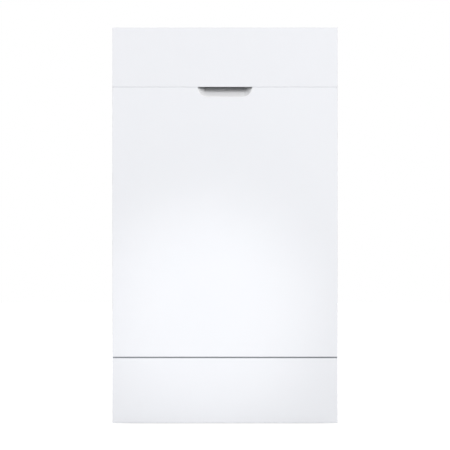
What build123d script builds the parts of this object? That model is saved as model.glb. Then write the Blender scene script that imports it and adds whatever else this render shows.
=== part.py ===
from build123d import *
import os

os.makedirs("parts", exist_ok=True)

# Front face, read from the photograph at 448 mm wide
WIDTH = 448.0
DEPTH = 570.0
FLOOR_GAP = 3.5
PLINTH_HEIGHT = 129.0
PLINTH_GAP = 2.5
DOOR_PANEL_HEIGHT = 536.0
SEAM = 1.0
FASCIA_HEIGHT = 118.0
EDGE = 1.0

# Pocket handle
POCKET_WIDTH = 108.0
POCKET_HEIGHT = 19.5
POCKET_DEPTH = 27.0
POCKET_RIM = 1.2
POCKET_WALL = 2.0
FINGER_ROOM = 22.0

# Sheets and walls
SHEET = 1.0
TUB_SHEET = 1.2
STEEL = 1.5
FASCIA_WALL = 2.5
BASE_WALL = 3.0
BEAD = 0.8

# Clearances
RUNNING = 0.06
PRESSED = 0.02
SLIDING = 0.3
DOOR_CLEARANCE = 2.0
PANEL_INSET = 1.0

# Door and hinge
DOOR_THICKNESS = 58.0
DOOR_FLANGE = 30.0
DISH_DEPTH = 10.0
HINGE_INSET = 14.0
HINGE_RISE = 14.0
PIN_RADIUS = 4.0
BRACKET = 3.0
ARM_PLATE = 2.5
QUADRANT_RADIUS = 26.0
QUADRANT_WIDTH = 6.5
CORD_RADIUS = 1.2
SPRING_LENGTH = 186.0

# Cabinet and tub
TOP_DROP = 4.0
BASE_BOTTOM = 16.0
BASE_RECESS = 23.0
SIDE_GAP = 23.0
REAR_GAP = 27.0
CEILING_GAP = 28.0
GASKET = 4.7
GASKET_WIDTH = 9.0
BLANKET = 8.0
TUB_CORNER = 36.0
BASIN_DEPTH = 12.7
FOOT_STEM = 8.0
FOOT_PAD = 21.0

# Racks
WIRE = 3.6
RACK_SIDE_GAP = 24.0
LOWER_RISE = 36.3
LOWER_HEIGHT = 104.0
LOWER_TINES = 74.0
RACK_PITCH = 279.8
UPPER_HEIGHT = 112.0
UPPER_TINES = 46.0
RAIL_RISE = 36.2
RAIL_HALF = 12.0
WHEEL_RADIUS = 17.0
WHEEL_WIDTH = 8.0
WHEEL_SETBACK = 102.0
WHEEL_PITCH = 67.0
AXLE_RADIUS = 4.0
BASKET_WIDTH = 70.0
BASKET_LENGTH = 200.0
BASKET_HEIGHT = 112.0
BASKET_WALL = 2.0

# Water parts
ARM_THICKNESS = 11.5
SUMP_RADIUS = 92.0
SUMP_DEPTH = 71.8
SUMP_SHIFT = 28.0
PUMP_RADIUS = 46.0
PUMP_SHIFT = 34.0
PIPE_RADIUS = 12.0
INLET_RADIUS = 13.2
DRAIN_RADIUS = 10.5
LEAD_RADIUS = 5.0
PORT_INSET = 74.0

# Controls and latch
STRIP = 3.2
BOARD = 1.6
LATCH_HALF = 15.0
BUTTON_RADIUS = 6.5
BUTTON_TRAVEL = 1.2
LID_PIN = 1.0
LID_BARREL = 1.7

# Levels and places that follow from the sizes above
FRONT = -DEPTH / 2
BACK = DEPTH / 2
HALF = WIDTH / 2
PLINTH_TOP = FLOOR_GAP + PLINTH_HEIGHT
TOE_TOP = PLINTH_TOP - 7.5
DOOR_BOTTOM = PLINTH_TOP + PLINTH_GAP
PANEL_TOP = DOOR_BOTTOM + DOOR_PANEL_HEIGHT
POCKET_BOTTOM = PANEL_TOP - POCKET_HEIGHT
POCKET_CORNER = 0.9 * POCKET_HEIGHT
POCKET_SLOPE = 0.86 * POCKET_HEIGHT
POCKET_BACK_WIDTH = POCKET_WIDTH - 29.0
HEEL_CORNER = 0.08 * POCKET_HEIGHT
FASCIA_BOTTOM = PANEL_TOP + SEAM
TOP = FASCIA_BOTTOM + FASCIA_HEIGHT
STRIP_TOP = TOP - 0.8
STRIP_UNDER = STRIP_TOP - STRIP
CABINET_TOP = TOP - TOP_DROP
ROOF = CABINET_TOP - SHEET

HINGE_Y = FRONT + HINGE_INSET
HINGE_Z = DOOR_BOTTOM + HINGE_RISE
DOOR_BACK = FRONT + DOOR_THICKNESS
DISH_FLOOR = DOOR_BACK - DISH_DEPTH
CABINET_FRONT = DOOR_BACK + DOOR_CLEARANCE
PANEL_HALF = HALF - PANEL_INSET
PANEL_IN = PANEL_HALF - SHEET
BASE_HALF = PANEL_IN - 1.0
BASE_FRONT = FRONT + DOOR_FLANGE
BASE_BACK = BACK - SHEET
BASE_FLOOR = BASE_BOTTOM + BASE_WALL
RECESS_Y = BASE_BACK - BASE_RECESS
PORT_SEAT = RECESS_Y - BASE_WALL

TUB_HALF = PANEL_HALF - SIDE_GAP
TUB_FRONT = DOOR_BACK + GASKET + SLIDING
TUB_BACK = BACK - REAR_GAP
TUB_CEILING = TOP - CEILING_GAP
OPEN_DOOR = HINGE_Z + DOOR_BACK - HINGE_Y
LEDGE = OPEN_DOOR + 2.7
WRAP_FOOT = LEDGE + 14.3
BASIN = LEDGE - BASIN_DEPTH
SUMP_TOP = BASIN - TUB_SHEET
BASIN_HALF = TUB_HALF - 32.0
BASIN_FRONT = TUB_FRONT + 32.0
BASIN_BACK = TUB_BACK - 28.0
MIDDLE = (TUB_FRONT + TUB_BACK) / 2 - 2.0

BRACKET_X = TUB_HALF + 2.5
ARM_X = BRACKET_X + BRACKET + 0.5
CORD_X = ARM_X + 4.5
SPRING_RADIUS = BASE_HALF - BASE_WALL - CORD_X - 1.0
CORD_Z = HINGE_Z + QUADRANT_RADIUS + CORD_RADIUS + 0.2
SPRING_FRONT = TUB_FRONT + 164.0
SPRING_BACK = SPRING_FRONT + SPRING_LENGTH
FOOT_X = HALF - 44.0
FOOT_FRONT_Y = BASE_FRONT + 50.0
FOOT_REAR_Y = RECESS_Y - 36.0

RACK_HALF = TUB_HALF - RACK_SIDE_GAP
RACK_FRONT = DOOR_BACK + 20.0
PIPE_Y = TUB_BACK - PIPE_RADIUS - 2.0
RACK_BACK = PIPE_Y - PIPE_RADIUS - 8.0
LOWER_FLOOR = LEDGE + LOWER_RISE
UPPER_FLOOR = LOWER_FLOOR + RACK_PITCH
RAIL_Z = UPPER_FLOOR + RAIL_RISE
WHEEL_Z = LEDGE + SLIDING + WHEEL_RADIUS
WHEEL_FRONT = DOOR_BACK + WHEEL_SETBACK
WHEEL_ROWS = (WHEEL_FRONT, WHEEL_FRONT + WHEEL_PITCH, RACK_BACK - 59.0)
WHEEL_X = RACK_HALF + 5.0
RUNNER_X = TUB_HALF - 18.5

FEED_TOP = UPPER_FLOOR - WIRE / 2
FEED_FOOT = FEED_TOP - 14.0
FEED_Z = (FEED_TOP + FEED_FOOT) / 2
LOWER_ARM = LOWER_FLOOR - 23.5
ARM_REACH = TUB_HALF - 28.0
UPPER_ARM = FEED_FOOT - 17.0
PUMP_Z = SUMP_TOP - PUMP_RADIUS - 10.8
BOSS_TOP = PUMP_Z - PUMP_RADIUS + 3.0
PUMP_FRONT = MIDDLE + SUMP_RADIUS + 14.0
PUMP_BACK = PUMP_FRONT + 46.0
MOTOR_LENGTH = PORT_SEAT - 34.0 - PUMP_BACK
OUTLET_Y = PUMP_FRONT + 26.0
OUTLET_TOP = SUMP_TOP - 21.8
DRAIN_Z = SUMP_TOP - 49.8
DRAIN_END = SUMP_SHIFT - SUMP_RADIUS - 20.0
FILTER_RADIUS = 0.37 * SUMP_RADIUS
FILTER_SHIFT = SUMP_SHIFT + 0.48 * SUMP_RADIUS
PORT_X = HALF - PORT_INSET
PORT_Z = TOE_TOP - 37.0
LEAD_X = PORT_X - 54.0
LEAD_Z = PORT_Z - 18.0

CONTROL_Y = FRONT + 27.0
BOARD_TOP = STRIP_UNDER - 14.4
BOARD_LEFT = LATCH_HALF + 13.0
BOARD_RIGHT = HALF - 16.0
BOARD_SPAN = BOARD_RIGHT - BOARD_LEFT
WINDOW_X = BOARD_LEFT + BOARD_SPAN * 0.345
BUTTONS = {
    "button_power": BOARD_LEFT + BOARD_SPAN * 0.10,
    "button_program": BOARD_LEFT + BOARD_SPAN * 0.62,
    "button_start": BOARD_LEFT + BOARD_SPAN * 0.89,
}
LATCH_Z = ROOF - 7.0
HOOK_Y = FRONT + HINGE_INSET
HOOK_Z = LATCH_Z - 8.0
CUP_X = -42.0
CAP_X = 40.0
DISPENSER_X = -10.0
DISPENSER_Z = LOWER_FLOOR + 210.0
LID_FACE = DISH_FLOOR + 4.0
LID_AXIS_Y = LID_FACE + SLIDING + LID_BARREL
LID_AXIS_Z = DISPENSER_Z - 41.5


def slab(x0, x1, y0, y1, z0, z1):
    return Pos((x0 + x1) / 2, (y0 + y1) / 2, (z0 + z1) / 2) * Box(x1 - x0, y1 - y0, z1 - z0)


def rod_x(x0, x1, y, z, r):
    return Pos((x0 + x1) / 2, y, z) * Rot(0, 90, 0) * Cylinder(r, x1 - x0)


def rod_y(y0, y1, x, z, r):
    return Pos(x, (y0 + y1) / 2, z) * Rot(90, 0, 0) * Cylinder(r, y1 - y0)


def rod_z(z0, z1, x, y, r):
    return Pos(x, y, (z0 + z1) / 2) * Cylinder(r, z1 - z0)


def along_x(face, x0, x1):
    return extrude(Plane.YZ.offset(x0) * face, amount=x1 - x0)


def along_y(face, y0, y1):
    return extrude(Plane.XZ.offset(-y1) * face, amount=y1 - y0)


def along_z(face, z0, z1):
    return extrude(Plane.XY.offset(z0) * face, amount=z1 - z0)


def outline(points):
    return make_face(Polyline(points, close=True))


def rounded(w, h, r, x=0.0, y=0.0):
    return Pos(x, y) * RectangleRounded(w, h, r)


def flipped(part):
    return mirror(part, about=Plane.YZ)


def pair(part):
    return [part, flipped(part)]


def front_edges(part):
    return part.faces().sort_by(Axis.Y)[0].edges()


def spread(a, b, count):
    return [a + (b - a) * i / (count - 1) for i in range(count)]


# Cabinet
def base_plan(inset):
    side = BASE_HALF - inset
    front = BASE_FRONT + inset
    back = BASE_BACK - inset
    notch = BASE_HALF - 31.0 + inset
    recess = RECESS_Y - inset
    return outline([
        (-side, front), (side, front), (side, back), (notch, back),
        (notch, recess), (-notch, recess), (-notch, back), (-side, back),
    ])


def base_tray():
    wall_top = CORD_Z + 8.6
    tray = along_z(base_plan(0), BASE_BOTTOM, wall_top)
    tray -= along_z(base_plan(BASE_WALL), BASE_FLOOR, wall_top + 1)
    tray -= slab(-HALF, HALF, BASE_FRONT - 1, CABINET_FRONT + 25, TOE_TOP, wall_top + 1)
    tray -= slab(-BASE_HALF + 5, BASE_HALF - 5, CABINET_FRONT, BACK, TOE_TOP, wall_top + 1)
    post_x = TUB_HALF - 14.0
    rib_y = (MIDDLE - 126.0, MIDDLE + 94.0)
    for y in rib_y:
        tray += slab(-BASE_HALF + 1, BASE_HALF - 1, y - 1.5, y + 1.5, BASE_BOTTOM + 1, BASE_FLOOR + 15)
    for side in (-1, 1):
        for y in (TUB_FRONT + 57.0, TUB_BACK - 33.0):
            tray += along_z(rounded(22, 30, 4, side * post_x, y), BASE_BOTTOM + 1, LEDGE - TUB_SHEET)
        inner, outer = sorted((side * (BRACKET_X + BRACKET), side * (BASE_HALF - 1)))
        tray += slab(inner, outer, CABINET_FRONT - 1, CABINET_FRONT + 22, BASE_BOTTOM + 1, TOE_TOP)
        inner, outer = sorted((side * (CORD_X - 4.5), side * (BASE_HALF - 1)))
        tray += slab(inner, outer, SPRING_BACK + 13, SPRING_BACK + 24, TOE_TOP - 5, CORD_Z + 6.6)
    for x, y in foot_places():
        tray += rod_z(BASE_BOTTOM, BOSS_TOP, x, y, FOOT_STEM + 7)
    for x, y in foot_places():
        tray -= rod_z(BASE_BOTTOM - 1, BOSS_TOP + 1, x, y, FOOT_STEM + RUNNING)
    tray -= rod_y(PORT_SEAT - 5, RECESS_Y + 5, LEAD_X, LEAD_Z, LEAD_RADIUS + 6.1)
    tray -= rod_y(PORT_SEAT - 5, RECESS_Y + 5, PORT_X, PORT_Z, INLET_RADIUS + 5)
    tray -= rod_y(PORT_SEAT - 5, RECESS_Y + 5, -PORT_X, PORT_Z, DRAIN_RADIUS + 5)
    return tray


def foot_places():
    return [(-FOOT_X, FOOT_FRONT_Y), (FOOT_X, FOOT_FRONT_Y), (0, FOOT_REAR_Y)]


def foot(x, y):
    pad_top = 7.0
    pad = Pos(x, y, 0) * Cone(FOOT_PAD, FOOT_PAD - 2, pad_top, align=(Align.CENTER, Align.CENTER, Align.MIN))
    hexagon = along_z(Pos(x, y) * RegularPolygon(FOOT_STEM + 5, 6), pad_top, BASE_BOTTOM)
    stem = rod_z(BASE_BOTTOM, BOSS_TOP + 2, x, y, FOOT_STEM)
    return pad + hexagon + chamfer(stem.edges().group_by(Axis.Z)[-1], 1.5)


def plinth():
    t = TUB_SHEET
    pan = slab(-HALF, HALF, FRONT, BASE_FRONT, FLOOR_GAP, PLINTH_TOP)
    pan = fillet(front_edges(pan), EDGE)
    pan -= slab(-HALF + t, HALF - t, FRONT + t, BASE_FRONT + 1, FLOOR_GAP + t, PLINTH_TOP + 1)
    pan -= slab(-HALF - 1, HALF + 1, FRONT + t, BASE_FRONT + 1, TOE_TOP - 1, PLINTH_TOP + 1)
    pan += slab(-HALF + t, HALF - t, FRONT + t, FRONT + 22, TOE_TOP - 7, TOE_TOP - 7 + t)
    for side in (-1, 1):
        x = side * (BASE_HALF - 9)
        pan += slab(x - 6, x + 6, FRONT + t, BASE_FRONT, TOE_TOP - 35, TOE_TOP - 35 + t)
    return pan


def side_panel():
    step = TOE_TOP + 2
    side = outline([
        (BASE_FRONT, BASE_BOTTOM + 4), (BASE_BACK, BASE_BOTTOM + 4), (BASE_BACK, ROOF),
        (CABINET_FRONT, ROOF), (CABINET_FRONT, step), (BASE_FRONT, step),
    ])
    sheet = along_x(side, PANEL_IN, PANEL_HALF)
    length = BASE_BACK - CABINET_FRONT - 128.0
    height = ROOF - step - 158.0
    middle = (CABINET_FRONT + BASE_BACK) / 2
    level = (ROOF + step) / 2 + 14
    bead = rounded(length, height, 30, middle, level) - rounded(length - 16, height - 16, 22, middle, level)
    sheet += along_x(bead, PANEL_IN, PANEL_HALF + BEAD)
    turn_in = PANEL_IN - SIDE_GAP + 17.5
    sheet += slab(turn_in, PANEL_IN, CABINET_FRONT, CABINET_FRONT + SHEET, OPEN_DOOR - 3, ROOF)
    sheet += slab(PANEL_IN - 9, PANEL_IN, CABINET_FRONT + 31, BASE_BACK, ROOF - SHEET, ROOF)
    return sheet


def rear_panel():
    foot_z = TOE_TOP + 2
    sheet = slab(-PANEL_HALF + 0.5, PANEL_HALF - 0.5, BASE_BACK, BACK, foot_z, CABINET_TOP)
    height = CABINET_TOP - foot_z - 139.0
    for x in (-PANEL_HALF * 2 / 3, 0, PANEL_HALF * 2 / 3):
        groove = rounded(16, height, 7.9, x, (CABINET_TOP + foot_z) / 2 + 13)
        sheet -= along_y(groove, BACK - 0.6, BACK + 1)
    return sheet


def top_panel():
    front = TUB_FRONT + 28
    sheet = slab(-BASE_HALF, BASE_HALF, front, BASE_BACK, ROOF, CABINET_TOP)
    wide = 2 * BASE_HALF - 82
    long = BASE_BACK - front - 98
    middle = (front + BASE_BACK) / 2
    bead = rounded(wide, long, 24, 0, middle) - rounded(wide - 14, long - 14, 17, 0, middle)
    sheet += along_z(bead, ROOF, CABINET_TOP + BEAD)
    sheet += slab(-BASE_HALF + 12, BASE_HALF - 12, front, front + SHEET, TUB_CEILING + 8, ROOF)
    return sheet


def front_crossrail():
    y0, y1 = TUB_FRONT + SHEET, TUB_FRONT + 27
    web = LATCH_Z - 2
    low = TUB_CEILING + 4
    section = outline([
        (y0, web), (y0, ROOF), (y1, ROOF), (y1, low), (y1 - STEEL, low),
        (y1 - STEEL, ROOF - STEEL), (y0 + STEEL, ROOF - STEEL), (y0 + STEEL, web),
    ])
    rail = along_x(section, -PANEL_IN, PANEL_IN)
    for x in bracket_places():
        rail -= rod_z(ROOF - 5, ROOF + 5, x, TUB_FRONT + 18, 2.1)
    return rail


def bracket_places():
    return (-TUB_HALF + 50.0, TUB_HALF - 50.0)


def counter_bracket(x):
    y0, y1, step = TUB_FRONT - 2, TUB_FRONT + 25, TUB_FRONT + 12
    tab = outline([
        (y1, ROOF), (y1, ROOF + STEEL), (step + 1, ROOF + STEEL), (step, TOP), (y0, TOP), (y0, TOP - STEEL),
        (step - 1, TOP - STEEL), (step, ROOF),
    ])
    bracket = along_x(tab, x - 14, x + 14)
    bracket -= rod_z(ROOF - 5, TOP + 5, x, TUB_FRONT + 4.5, 2.5)
    bracket -= rod_z(ROOF - 5, TOP + 5, x, TUB_FRONT + 18, 2.1)
    return bracket


# Tub
def tub_section(grow):
    top = TUB_CEILING + grow
    height = 2 * TUB_CEILING
    return rounded(2 * (TUB_HALF + grow), height, TUB_CORNER + grow, 0, top - height / 2)


def tub_ring(inner, outer, y0, y1, foot_z):
    ring = along_y(tub_section(outer) - tub_section(inner), y0, y1)
    return ring - slab(-WIDTH, WIDTH, y0 - 1, y1 + 1, -2 * TUB_CEILING, foot_z)


def tub_wrap():
    wrap = tub_ring(0, SHEET, TUB_FRONT, TUB_BACK, WRAP_FOOT)
    return wrap + tub_ring(SHEET, GASKET_WIDTH + 4, TUB_FRONT, TUB_FRONT + SHEET, WRAP_FOOT)


def tub_rear_wall():
    wall = along_y(tub_section(SHEET), TUB_BACK, TUB_BACK + SHEET)
    wall -= slab(-WIDTH, WIDTH, TUB_BACK - 1, TUB_BACK + 3, -2 * TUB_CEILING, LEDGE - TUB_SHEET)
    panel = rounded(150, 260, 20, 0, (LEDGE + TUB_CEILING) / 2 - 80)
    return wall - along_y(panel, TUB_BACK + SHEET / 2, TUB_BACK + 2)


def tub_floor():
    t = TUB_SHEET
    front = CABINET_FRONT + 0.5
    long = BASIN_BACK - BASIN_FRONT
    middle = (BASIN_BACK + BASIN_FRONT) / 2
    floor = slab(-TUB_HALF - SHEET, TUB_HALF + SHEET, front, TUB_BACK, LEDGE - t, WRAP_FOOT)
    floor += along_z(rounded(2 * (BASIN_HALF + t), long + 2 * t, 30, 0, middle), SUMP_TOP, LEDGE)
    floor -= slab(-TUB_HALF, TUB_HALF, front - 1, TUB_BACK + 1, LEDGE, WRAP_FOOT + 1)
    floor -= along_z(rounded(2 * BASIN_HALF, long, 30 - t, 0, middle), BASIN, LEDGE + 1)
    floor += slab(-TUB_HALF + 4, TUB_HALF - 4, front, front + t, LEDGE - 24, LEDGE - t / 2)
    for x in (-TUB_HALF - 10, TUB_HALF + 10):
        floor -= slab(x - 10, x + 10, front - 1, TUB_FRONT, LEDGE, WRAP_FOOT + 1)
    floor -= rod_z(SUMP_TOP - 1, BASIN + 1, SUMP_SHIFT, MIDDLE, SUMP_RADIUS - 4)
    return floor - rod_z(LEDGE - 5, LEDGE + 1, 0, PIPE_Y, PIPE_RADIUS - 2.3)


def tub_gasket():
    ring = tub_ring(2.5, 2.5 + GASKET_WIDTH, DOOR_BACK + SLIDING, TUB_FRONT, LEDGE + 1.3)
    long_edges = front_edges(ring).filter_by(lambda edge: edge.length > GASKET_WIDTH + 1)
    return fillet(long_edges, 1.5)


def insulation_blanket():
    return tub_ring(SHEET, SHEET + BLANKET, TUB_FRONT + 34, TUB_BACK - 4, WRAP_FOOT + 22)


# Hinge and counterbalance
def ear(r, x0, x1):
    return rod_x(x0, x1, HINGE_Y, HINGE_Z, r)


def hinge_bracket():
    x0, x1 = BRACKET_X, BRACKET_X + BRACKET
    back = CABINET_FRONT + 20
    plate = outline([
        (HINGE_Y, HINGE_Z - 4.5), (CABINET_FRONT + 2, HINGE_Z - 4.5), (CABINET_FRONT + 2, BASE_FLOOR + 21),
        (back, BASE_FLOOR + 21), (back, HINGE_Z - 4), (back - 10, HINGE_Z + 8), (HINGE_Y, HINGE_Z + 8),
    ])
    bracket = along_x(plate, x0, x1) + ear(PIN_RADIUS + 5, x0, x1)
    return bracket - ear(PIN_RADIUS + PRESSED, x0 - 1, x1 + 1)


def hinge_pin():
    end = ARM_X + QUADRANT_WIDTH + 0.5
    return ear(PIN_RADIUS, BRACKET_X - 2, end) + ear(PIN_RADIUS + 2.5, BRACKET_X - 3.5, BRACKET_X)


def hinge_arm():
    x0, x1 = ARM_X, ARM_X + ARM_PLATE
    seat = DOOR_BACK - SHEET
    low = OPEN_DOOR + 21
    plate = outline([
        (HINGE_Y - 9, HINGE_Z), (HINGE_Y + 10, HINGE_Z), (HINGE_Y + 16, low - 14), (seat, low),
        (seat, low + 86), (seat - 24, low + 106), (seat - 34, low + 106), (HINGE_Y + 3, low + 86),
    ])
    arm = along_x(plate, x0, x1) + ear(PIN_RADIUS + 6, x0, x1)
    disc = Pos(HINGE_Y, HINGE_Z) * Circle(QUADRANT_RADIUS)
    disc &= Pos(HINGE_Y + QUADRANT_RADIUS / 2, HINGE_Z + QUADRANT_RADIUS / 2) * Rectangle(
        QUADRANT_RADIUS + 4, QUADRANT_RADIUS)
    arm += along_x(disc, x0, x0 + QUADRANT_WIDTH)
    return arm - ear(PIN_RADIUS + RUNNING, x0 - 1, x0 + QUADRANT_WIDTH + 1)


def door_cord():
    return rod_y(HINGE_Y + 0.2, SPRING_FRONT, CORD_X, CORD_Z, CORD_RADIUS)


def door_spring():
    bore = SPRING_RADIUS - 2
    coil = rod_y(SPRING_FRONT, SPRING_BACK, CORD_X, CORD_Z, SPRING_RADIUS)
    coil -= rod_y(SPRING_FRONT + 12, SPRING_BACK - 12, CORD_X, CORD_Z, bore)
    return coil + rod_y(SPRING_BACK, SPRING_BACK + 13, CORD_X, CORD_Z, 1.6)


# Latch
def latch_strike():
    web = TUB_FRONT + SHEET
    tongue = slab(-9, 9, DOOR_BACK - 25, web, LATCH_Z - 1, LATCH_Z + 1)
    tongue = fillet(tongue.edges().filter_by(Axis.Z).group_by(Axis.Y)[0], 5)
    strike = tongue + slab(1 - LATCH_HALF, LATCH_HALF - 1, web - STEEL, web, LATCH_Z - 1, ROOF)
    return strike - slab(-5, 5, DOOR_BACK - 18.5, DOOR_BACK - 9, LATCH_Z - 3, LATCH_Z + 3)


def latch_housing():
    box = slab(-LATCH_HALF, LATCH_HALF, HOOK_Y - 8, DOOR_BACK - SHEET, LATCH_Z - 26, ROOF)
    box -= slab(-10.5, 10.5, DOOR_BACK - 30, DOOR_BACK + 1, LATCH_Z - 4, ROOF + 1)
    box -= slab(-4, 4, HOOK_Y - 6, DOOR_BACK + 1, LATCH_Z - 23, ROOF + 1)
    return box + rod_x(-5, 5, HOOK_Y, HOOK_Z, 2)


def latch_hook():
    tip = DOOR_BACK - 11.5
    side = outline([
        (HOOK_Y - 4, HOOK_Z - 4), (tip - 5.5, HOOK_Z - 4), (tip, HOOK_Z), (tip, LATCH_Z + 4),
        (tip - 2.5, LATCH_Z + 4), (tip - 5, LATCH_Z + 1), (tip - 5, HOOK_Z + 4), (HOOK_Y - 4, HOOK_Z + 4),
    ])
    return along_x(side, -3.6, 3.6) - rod_x(-5, 5, HOOK_Y, HOOK_Z, 2 + RUNNING)


# Door
def pocket_profile(half, bottom, corner, top):
    face = outline([(-half, top), (-half, bottom), (half, bottom), (half, top)])
    return fillet(face.vertices().group_by(Axis.Y)[0], corner)


def door_outer_panel():
    side = HALF - SHEET
    pan = slab(-HALF, HALF, FRONT, BASE_FRONT, DOOR_BOTTOM, PANEL_TOP)
    pan = fillet(front_edges(pan), EDGE)
    pan -= slab(-side, side, FRONT + SHEET, BASE_FRONT + 1, DOOR_BOTTOM + SHEET, PANEL_TOP - SHEET)
    pan -= slab(-side, side, FRONT + 8, BASE_FRONT + 1, DOOR_BOTTOM - 1, DOOR_BOTTOM + 5)
    pan -= slab(-side, side, FRONT + 14, BASE_FRONT + 1, PANEL_TOP - 5, PANEL_TOP + 1)
    wide = POCKET_WIDTH / 2 + 4
    pan -= slab(-wide, wide, FRONT + SHEET, BASE_FRONT, PANEL_TOP - 2 * SHEET, PANEL_TOP + 1)
    cut = pocket_profile(POCKET_WIDTH / 2, POCKET_BOTTOM, POCKET_CORNER, PANEL_TOP + 1)
    return pan - along_y(cut, FRONT - 1, FRONT + 10)


def fascia():
    wall = FASCIA_WALL
    depth = FRONT + 22
    block = slab(-HALF, HALF, FRONT, depth, FASCIA_BOTTOM, TOP)
    block = fillet(front_edges(block), EDGE - 0.4)
    block -= slab(-HALF + wall, HALF - wall, FRONT + wall, depth + 1, FASCIA_BOTTOM + wall, TOP + 1)
    block += slab(-PANEL_IN, PANEL_IN, FRONT + EDGE, FRONT + 9, PANEL_TOP + 0.1, FASCIA_BOTTOM + wall)
    wide = POCKET_WIDTH / 2 + 4
    block -= slab(-wide, wide, FRONT + wall, depth + 1, PANEL_TOP, FASCIA_BOTTOM + wall + 0.5)
    return block - slab(-wide + 3.5, wide - 3.5, FRONT - 1, depth + 1, PANEL_TOP, FASCIA_BOTTOM)


def pocket_mouth(grow):
    inset = POCKET_RIM - grow
    return pocket_profile(POCKET_WIDTH / 2 - inset, POCKET_BOTTOM + inset, POCKET_CORNER - inset, PANEL_TOP)


def pocket_heel(grow):
    heel = POCKET_BOTTOM + POCKET_SLOPE - grow
    return pocket_profile(POCKET_BACK_WIDTH / 2 + grow, heel, HEEL_CORNER + grow, PANEL_TOP)


def pocket_scoop(grow):
    front = Plane.XZ.offset(-(FRONT + SHEET)) * pocket_mouth(grow)
    back = Plane.XZ.offset(-(FRONT + POCKET_DEPTH + grow)) * pocket_heel(grow)
    return loft([front.face(), back.face()])


def finger_room(grow):
    half = POCKET_BACK_WIDTH / 2 + grow
    back = FRONT + POCKET_DEPTH + grow
    return slab(-half, half, FRONT + FASCIA_WALL, back, PANEL_TOP, PANEL_TOP + FINGER_ROOM + grow)


def handle_pocket():
    wide = POCKET_WIDTH / 2
    shell = pocket_scoop(POCKET_WALL) + finger_room(POCKET_WALL)
    shell += slab(-wide - 3, wide + 3, FRONT + FASCIA_WALL, FRONT + 12, PANEL_TOP, PANEL_TOP + POCKET_WALL)
    brim = pocket_profile(wide + 6, POCKET_BOTTOM - 6, POCKET_CORNER, PANEL_TOP - 2.5)
    shell += along_y(brim, FRONT + SHEET, FRONT + SHEET + 1.6)
    rim = pocket_profile(wide - 0.15, POCKET_BOTTOM + 0.15, POCKET_CORNER - 0.15, PANEL_TOP)
    shell += along_y(rim, FRONT + 0.3, FRONT + 2 * SHEET)
    shell -= pocket_scoop(0)
    shell -= along_y(pocket_mouth(0), FRONT - 1, FRONT + SHEET)
    return shell - finger_room(0)


def door_inner_panel():
    side = PANEL_HALF - SHEET
    bottom = DOOR_BOTTOM + 26
    tail = DOOR_BACK - 35
    sheet = slab(-PANEL_HALF, PANEL_HALF, tail, DOOR_BACK, bottom, STRIP_UNDER)
    sheet -= slab(-side, side, tail - 1, DOOR_BACK - SHEET, bottom + SHEET, STRIP_UNDER - SHEET)
    dish_foot, dish_top = OPEN_DOOR + 21, TOP - 52
    level = (dish_foot + dish_top) / 2
    shape = rounded(2 * TUB_HALF - 62, dish_top - dish_foot, 30, 0, level)
    inside = rounded(2 * TUB_HALF - 64, dish_top - dish_foot - 2, 29, 0, level)
    half_way = SHEET / 2
    sheet += extrude(Plane.XZ.offset(half_way - DOOR_BACK) * shape, amount=DISH_DEPTH + half_way, taper=28)
    sheet -= extrude(Plane.XZ.offset(-DOOR_BACK) * inside, amount=DISH_DEPTH, taper=28)
    notch = (TUB_HALF - 2, side)
    for x0, x1 in (notch, (-notch[1], -notch[0])):
        sheet -= slab(x0, x1, tail - 1, DOOR_BACK + 1, bottom - 1, CORD_Z + 13.6)
    sheet -= slab(-side, side, tail - 1, DOOR_BACK - 14, ROOF - 1, STRIP_UNDER + 1)
    sheet -= along_y(Pos(DISPENSER_X, DISPENSER_Z) * Rectangle(158, 88), DISH_FLOOR - 9, DOOR_BACK + 1)
    return sheet - slab(-10.5, 10.5, DOOR_BACK - 13, DOOR_BACK + 1, LATCH_Z - 4, ROOF)


def door_insulation():
    half = TUB_HALF - 4
    mat = slab(-half, half, FRONT + 2, DISH_FLOOR - SHEET, OPEN_DOOR + 12, POCKET_BOTTOM - 11.5)
    mat = fillet(mat.edges().filter_by(Axis.Y), 12)
    return mat - along_y(Pos(DISPENSER_X, DISPENSER_Z) * Rectangle(168, 100), DISH_FLOOR - 27, DOOR_BACK)


def control_strip():
    half = HALF - FASCIA_WALL - 0.1
    strip = slab(-half, half, FRONT + FASCIA_WALL, DOOR_BACK, STRIP_UNDER, STRIP_TOP)
    strip = fillet(strip.edges().filter_by(Axis.X).group_by(Axis.Z)[-1].sort_by(Axis.Y)[-1], 1.5)
    for x in BUTTONS.values():
        strip -= rod_z(STRIP_UNDER - 1, TOP, x, CONTROL_Y, BUTTON_RADIUS + SLIDING)
    strip -= along_z(rounded(48.4, 14.4, 3, WINDOW_X, CONTROL_Y), STRIP_UNDER + 1, TOP)
    strip -= along_z(rounded(44, 10, 2, WINDOW_X, CONTROL_Y), STRIP_UNDER - 1, TOP)
    for x in (BOARD_LEFT + 4, WINDOW_X + 22, BOARD_RIGHT - 4):
        for y in (CONTROL_Y - 16, CONTROL_Y + 12):
            strip += rod_z(BOARD_TOP, STRIP_UNDER, x, y, 2.5)
    return strip


def control_board():
    board = slab(BOARD_LEFT, BOARD_RIGHT, CONTROL_Y - 20, CONTROL_Y + 20, BOARD_TOP - BOARD, BOARD_TOP)
    for x in BUTTONS.values():
        board += slab(x - 3, x + 3, CONTROL_Y - 3, CONTROL_Y + 3, BOARD_TOP, BOARD_TOP + 1.2)
    board += slab(WINDOW_X - 24, WINDOW_X + 18, CONTROL_Y - 8, CONTROL_Y + 8, BOARD_TOP, BOARD_TOP + 5.4)
    plug_foot = BOARD_TOP - BOARD - 5
    return board + slab(WINDOW_X + 28, WINDOW_X + 36, CONTROL_Y - 18, CONTROL_Y + 12, plug_foot, BOARD_TOP)


def display_window():
    return along_z(rounded(48, 14, 2.8, WINDOW_X, CONTROL_Y), STRIP_UNDER + 1, STRIP_TOP)


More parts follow.
